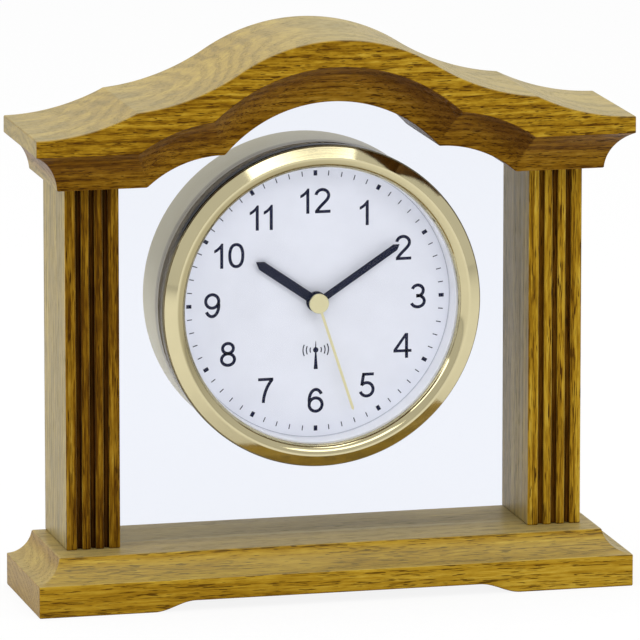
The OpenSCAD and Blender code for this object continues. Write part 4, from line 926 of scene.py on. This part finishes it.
# Flat shapes in the dial's plane, collected as thin closed prisms between two depths. All of them become
# one piece.
class FlatShapes:
    def __init__(self, front, back):
        self.points, self.faces, self.front, self.back = [], [], front, back

    # Adds each outline at the front and at the back, and returns the number of its first point.
    def addOutlines(self, *outlines):
        start = sum(len(p) for p in self.points)
        for outline in outlines:
            x, z = np.asarray(outline, dtype=float).T
            for depth in (self.front, self.back):
                self.points.append(np.stack([x, np.full_like(x, frontY + depth), dialZ + z], axis=-1))
        return start

    # A ring or a strip between two edges, right and left, whose points are joined one to the next.
    def strip(self, right, left, closed=False):
        count, start = len(right), self.addOutlines(right, left)
        fr, br, fl, bl = (start + k * count for k in range(4))
        i = np.arange(count if closed else count - 1)
        j = (i + 1) % count
        for corners in ((fr + i, fr + j, fl + j, fl + i), (br + j, br + i, bl + i, bl + j),
                        (fr + i, br + i, br + j, fr + j), (fl + j, bl + j, bl + i, fl + i)):
            self.faces += np.stack(corners, axis=-1).tolist()
        if not closed:
            last = count - 1
            self.faces += [[fl, bl, br, fr], [fr + last, br + last, bl + last, fl + last]]

    # A stroke of one width along a path: half the width to each side of it.
    def stroke(self, path, width, closed=False):
        path = np.asarray(path, dtype=float)
        if closed:
            ahead = np.roll(path, -1, axis=0) - np.roll(path, 1, axis=0)
        else:
            ahead = np.gradient(path, axis=0)
        ahead /= np.linalg.norm(ahead, axis=1)[:, None]
        across = np.stack([ahead[:, 1], -ahead[:, 0]], axis=-1) * width / 2
        self.strip(path + across, path - across, closed)

    # A filled outline, its corners in turn against the clock.
    def fill(self, outline):
        count, start = len(outline), self.addOutlines(outline)
        i = np.arange(count)
        j = (i + 1) % count
        self.faces += [(start + i).tolist(), (start + count + i[::-1]).tolist()]
        self.faces += np.stack([start + i, start + count + i, start + count + j, start + j], axis=-1).tolist()

    # Makes one flat-shaded piece of all that was added.
    def piece(self, name, material):
        makePiece(name, np.concatenate(self.points), self.faces, material, flatFaces=range(len(self.faces)))


# Plain upright numerals, one high, as strokes of one width: paths, closed paths and filled outlines.
def numeralShapes():
    bowl = arcPath(0.335, 0.33, 0.2625, 0.2675, 0, 351, 40)
    hook = arcPath(0.345, 0.5, 0.2725, 0.4375, 192, 35)
    twoTop = arcPath(0.325, 0.7, 0.2575, 0.2375, 172, -20)
    twoTail = curvePath((0.567, 0.619), (0.507, 0.469), (0.24, 0.31), (0.095, 0.075))
    threeTop = arcPath(0.315, 0.72, 0.225, 0.2175, 162, -90)
    threeFoot = arcPath(0.315, 0.29, 0.2675, 0.2275, 90, -162)

    # corners of a rectangle against the clock
    def bar(x0, y0, x1, y1):
        return [(x0, y0), (x1, y0), (x1, y1), (x0, y1)]

    return {
        "0": {"w": 0.65, "loops": [arcPath(0.325, 0.5, 0.2625, 0.4375, 0, 352.5, 48, 0.87)]},
        "1": {"w": 0.365, "fills": [[(0.24, 0), (0.365, 0), (0.365, 1.0), (0.285, 1.0), (0.235, 0.925),
                                     (0.155, 0.845), (0.075, 0.785), (0, 0.745), (0, 0.625), (0.07, 0.652),
                                     (0.15, 0.70), (0.24, 0.775)]]},
        "2": {"w": 0.655, "paths": [np.concatenate([twoTop, twoTail[1:]])],
              "fills": [bar(0.03, 0, 0.655, 0.118)]},
        "3": {"w": 0.645, "paths": [np.concatenate([threeTop, [(0.25, 0.5025)]]),
                                    np.concatenate([[(0.25, 0.5175)], threeFoot])]},
        "4": {"w": 0.735, "fills": [bar(0.47, 0, 0.595, 1.0), bar(0, 0.235, 0.735, 0.35),
                                    [(0, 0.345), (0.145, 0.345), (0.475, 0.815), (0.475, 0.998)]]},
        "5": {"w": 0.65, "paths": [arcPath(0.32, 0.331, 0.265, 0.2687, 141, -162),
                                   [(0.205, 0.985), (0.125, 0.49)]],
              "fills": [bar(0.165, 0.882, 0.615, 1.0)]},
        "6": {"w": 0.66, "loops": [bowl], "paths": [hook]},
        "7": {"w": 0.66, "paths": [curvePath((0.61, 0.92), (0.42, 0.70), (0.27, 0.36), (0.255, 0.0))],
              "fills": [bar(0.045, 0.882, 0.66, 1.0)]},
        "8": {"w": 0.65, "loops": [arcPath(0.325, 0.7375, 0.2175, 0.20, 0, 350, 36),
                                   arcPath(0.325, 0.2925, 0.2625, 0.23, 0, 351, 40)]},
        "9": {"w": 0.66, "loops": [(0.66, 1.0) - bowl], "paths": [(0.66, 1.0) - hook]},
    }


# The dial's marks: printed numerals, hour blocks, minute marks and a small mast that sends waves, and a thin
# grey ring line round them. The place under the 12 is bare. A mark at minute m stands at the angle 6 m from
# the top.
def makePrint(ink, ringLineTone):
    size = {"high": 9.6, "stroke": 0.125, "apart": 0.2, "inkIn": 0.02, "inkOut": 0.03,
            "blockR": 49.1, "block": (1.4, 2.0), "mark": (0.36, 1.9), "ringR": 52.3, "ringW": 0.22}
    mast = {"ball": (0.1, -18.9), "ballR": 1.05,
            "post": [(-0.8, -7.4), (0.8, -7.4), (0.3, -0.9), (-0.3, -0.9)],
            "tip": [(-0.25, 0.9), (0.25, 0.9), (0.1, 3.3), (-0.1, 3.3)], "waves": (2.2, 3.65, 4.95),
            "waveW": 0.42, "waveHalf": 26}
    places = {1: (19.0, 33.0), 2: (34.2, 19.0), 3: (40.0, 0), 4: (34.0, -18.9), 5: (20.0, -33.5),
              6: (0, -38.4), 7: (-19.6, -33.6), 8: (-34.0, -19.0), 9: (-40.0, 0), 10: (-33.4, 18.8),
              11: (-21.0, 32.8), 12: (0, 38.4)}
    dialFront = boxMm("dial")[0][1] - frontY
    depths = (dialFront - size["inkOut"], dialFront + size["inkIn"])
    shapes = FlatShapes(*depths)
    numerals = numeralShapes()
    high = size["high"]
    for number, (x, z) in places.items():
        digits = [numerals[d] for d in str(number)]
        wide = sum(d["w"] for d in digits) + size["apart"] * (len(digits) - 1)
        pen = -wide / 2
        for digit in digits:
            corner = np.array([x + pen * high, z - high / 2])
            for kind, closed in (("paths", False), ("loops", True)):
                for path in digit.get(kind, []):
                    shapes.stroke(corner + np.array(path) * high, size["stroke"] * high, closed)
            for outline in digit.get("fills", []):
                shapes.fill(corner + np.array(outline) * high)
            pen += digit["w"] + size["apart"]
    for minute in range(60):
        w, h = size["block"] if minute % 5 == 0 else size["mark"]
        a = math.radians(6 * minute)
        along, across = np.array([math.sin(a), math.cos(a)]), np.array([math.cos(a), -math.sin(a)])
        corners = np.array([(-1, -1), (1, -1), (1, 1), (-1, 1)]) * (w / 2, h / 2)
        shapes.fill(along * size["blockR"] + corners @ np.array([across, along]))
    ball = np.array(mast["ball"])
    shapes.fill(ball + arcPath(0, 0, mast["ballR"], mast["ballR"], 0, 348, 30))
    shapes.fill(ball + np.array(mast["post"]))
    shapes.fill(ball + np.array(mast["tip"]))
    for reach in mast["waves"]:
        for middle in (0, 180):
            ends = middle - mast["waveHalf"], middle + mast["waveHalf"]
            shapes.stroke(ball + arcPath(0, 0, reach, reach, *ends, 14), mast["waveW"])
    shapes.piece("dialPrint", ink)
    ring = FlatShapes(*depths)
    ring.stroke(arcPath(0, 0, size["ringR"], size["ringR"], 0, 358, 180), size["ringW"], True)
    ring.piece("dialRingLine", ringLineTone)


makePrint(printInk, ringInk)
print("dial printed")


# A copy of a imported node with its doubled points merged, its flat faces joined and its edges rounded by
# a bevel of one width. The weighted normals keep the flat faces flat.
def softCopy(nodeName, material, width, slot):
    soft = {"merge": 1e-6, "flatAngle": 0.6, "edgeAngle": 35, "segments": 3, "faceWeight": 90}
    source = nodes[nodeName]
    mesh = source.data.copy()
    work = bmesh.new()
    work.from_mesh(mesh)
    bmesh.ops.remove_doubles(work, verts=work.verts, dist=soft["merge"])
    bmesh.ops.dissolve_limit(work, angle_limit=math.radians(soft["flatAngle"]),
                             verts=work.verts, edges=work.edges)
    work.to_mesh(mesh)
    work.free()
    mesh.materials.clear()
    mesh.materials.append(material)
    words = nodeName.split("_")
    name = words[0] + "".join(w.capitalize() for w in words[1:]) + "Soft"
    mesh.name = name
    piece = bpy.data.objects.new(name, mesh)
    bpy.context.scene.collection.objects.link(piece)
    rounding = piece.modifiers.new("round", "BEVEL")
    rounding.width = width * mm
    rounding.segments = soft["segments"]
    rounding.limit_method = "ANGLE"
    rounding.angle_limit = math.radians(soft["edgeAngle"])
    rounding.use_clamp_overlap = True
    even = piece.modifiers.new("even", "WEIGHTED_NORMAL")
    even.mode = "FACE_AREA"
    even.weight = soft["faceWeight"]
    mesh.polygons.foreach_set("use_smooth", np.ones(len(mesh.polygons), dtype=bool))
    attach(piece, body_of(source)[0])
    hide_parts(nodeName)


# nodes that get soft edges: their finish, the width of their bevels and their slot
softCopies = {
    "hour_hand": (handInk, 0.16, "hand_dark"), "minute_hand": (handInk, 0.16, "hand_dark"),
    "second_hand": (paleGold, 0.08, "hand_gold"), "second_cap": (paleGold, 0.25, "hand_gold"),
    "chapter_ring": (whitePlastic, 0.2, "white_plastic"), "drum": (satin, 0.2, "drum_metal"),
    "rear_cover": (blackPlastic, 0.4, "black_plastic"),
    "movement_back": (blackPlastic, 0.25, "black_plastic"),
    "battery_door": (blackPlastic, 0.2, "black_plastic"),
    "set_button": (buttonGrey, 0.15, "button_plastic"), "reset_button": (buttonGrey, 0.15, "button_plastic"),
}
for nodeName, facts in softCopies.items():
    softCopy(nodeName, *facts)
print("soft copies made")

# nodes that stay as they are, by their finish
finishes = [
    (steel, "pillar_screws cover_screws movement_screws wheel_pins quartz_crystal "
            "positive_contact negative_contact"),
    (dowelWood, "cornice_dowels"), (paneGlass, "glass_pane"), (lensGlass, "lens"), (dialCard, "dial"),
    (whitePlastic, "dial_plate"), (blackRubber, "pane_gasket"),
    (blackPlastic, "movement_front board_chip board_switches"), (boardGreen, "circuit_board"),
    (gearPlastic, "second_wheel seconds_mid_wheel minute_wheel minutes_mid_wheel change_wheel hour_wheel"),
    (magnetGrey, "seconds_rotor minutes_rotor"), (copper, "seconds_coil minutes_coil antenna_coil"),
    (ironGrey, "seconds_stator seconds_core minutes_stator minutes_core"), (ferrite, "antenna_rod"),
    (cellWrap, "cell"),
]
for finish, names in finishes:
    for nodeName in names.split():
        slots = nodes[nodeName].data.materials
        slots.clear()
        slots.append(finish)
print("insert made")


# A white sheet under and behind the clock. Seen directly it is nearly white and keeps a soft part of
# its shadow: a share of plain white and the rest paper. For all other light it is plain pale paper.
def makeStage():
    sheet = {"half": 4.0, "colour": (0.80, 0.80, 0.80, 1.0), "roughness": 0.9, "whiteShare": 0.88}
    half = sheet["half"]
    mesh = bpy.data.meshes.new("floor")
    corners = [(-half, -half, 0), (half, -half, 0), (half, half, 0), (-half, half, 0)]
    mesh.from_pydata(corners, [], [(0, 1, 2, 3)])
    material, tree, paper = startMaterial("floorPaper")
    feed(paper, {"Base Color": sheet["colour"], "Roughness": sheet["roughness"]})
    glow = addNode(tree, "ShaderNodeEmission", {"Color": (1.0, 1.0, 1.0, 1.0), "Strength": 1.0})
    ray = addNode(tree, "ShaderNodeLightPath").outputs
    seen = larger(Value(ray["Is Camera Ray"]), Value(ray["Is Transmission Ray"]))
    mix = addNode(tree, "ShaderNodeMixShader", {0: seen * sheet["whiteShare"], 1: Value(paper.outputs[0]),
                                                2: Value(glow.outputs[0])})
    feed(tree.nodes["Material Output"], {"Surface": Value(mix.outputs[0])})
    mesh.materials.append(material)
    floor = bpy.data.objects.new("floor", mesh)
    bpy.context.scene.collection.objects.link(floor)


# A white world and three soft rectangular lights that point at the clock. Places and sizes are metres,
# powers are watts.
def makeLight():
    light = {"world": 0.78, "aim": (0, 0, 0.1)}
    lamps = {"keyLeft": ((-1.6, -0.2, 1.3), (1.2, 1.2), 12.0), "top": ((0.1, 0.1, 1.8), (1.4, 1.0), 15.0),
             "frontCard": ((0.16, -1.2, 1.02), (1.05, 0.5), 4.0)}
    world = bpy.data.worlds.new("studio")
    bpy.context.scene.world = world
    world.use_nodes = True
    feed(world.node_tree.nodes["Background"], {"Color": (1.0, 1.0, 1.0, 1.0), "Strength": light["world"]})
    for name, (place, size, power) in lamps.items():
        data = bpy.data.lights.new(name, "AREA")
        data.shape = "RECTANGLE"
        data.size, data.size_y = size
        data.energy = power
        lamp = bpy.data.objects.new(name, data)
        lamp.location = place
        lamp.rotation_euler = (Vector(light["aim"]) - Vector(place)).to_track_quat("-Z", "Y").to_euler()
        bpy.context.scene.collection.objects.link(lamp)
    bpy.context.scene.view_settings.view_transform = "Standard"


makeStage()
makeLight()
print("stage made")
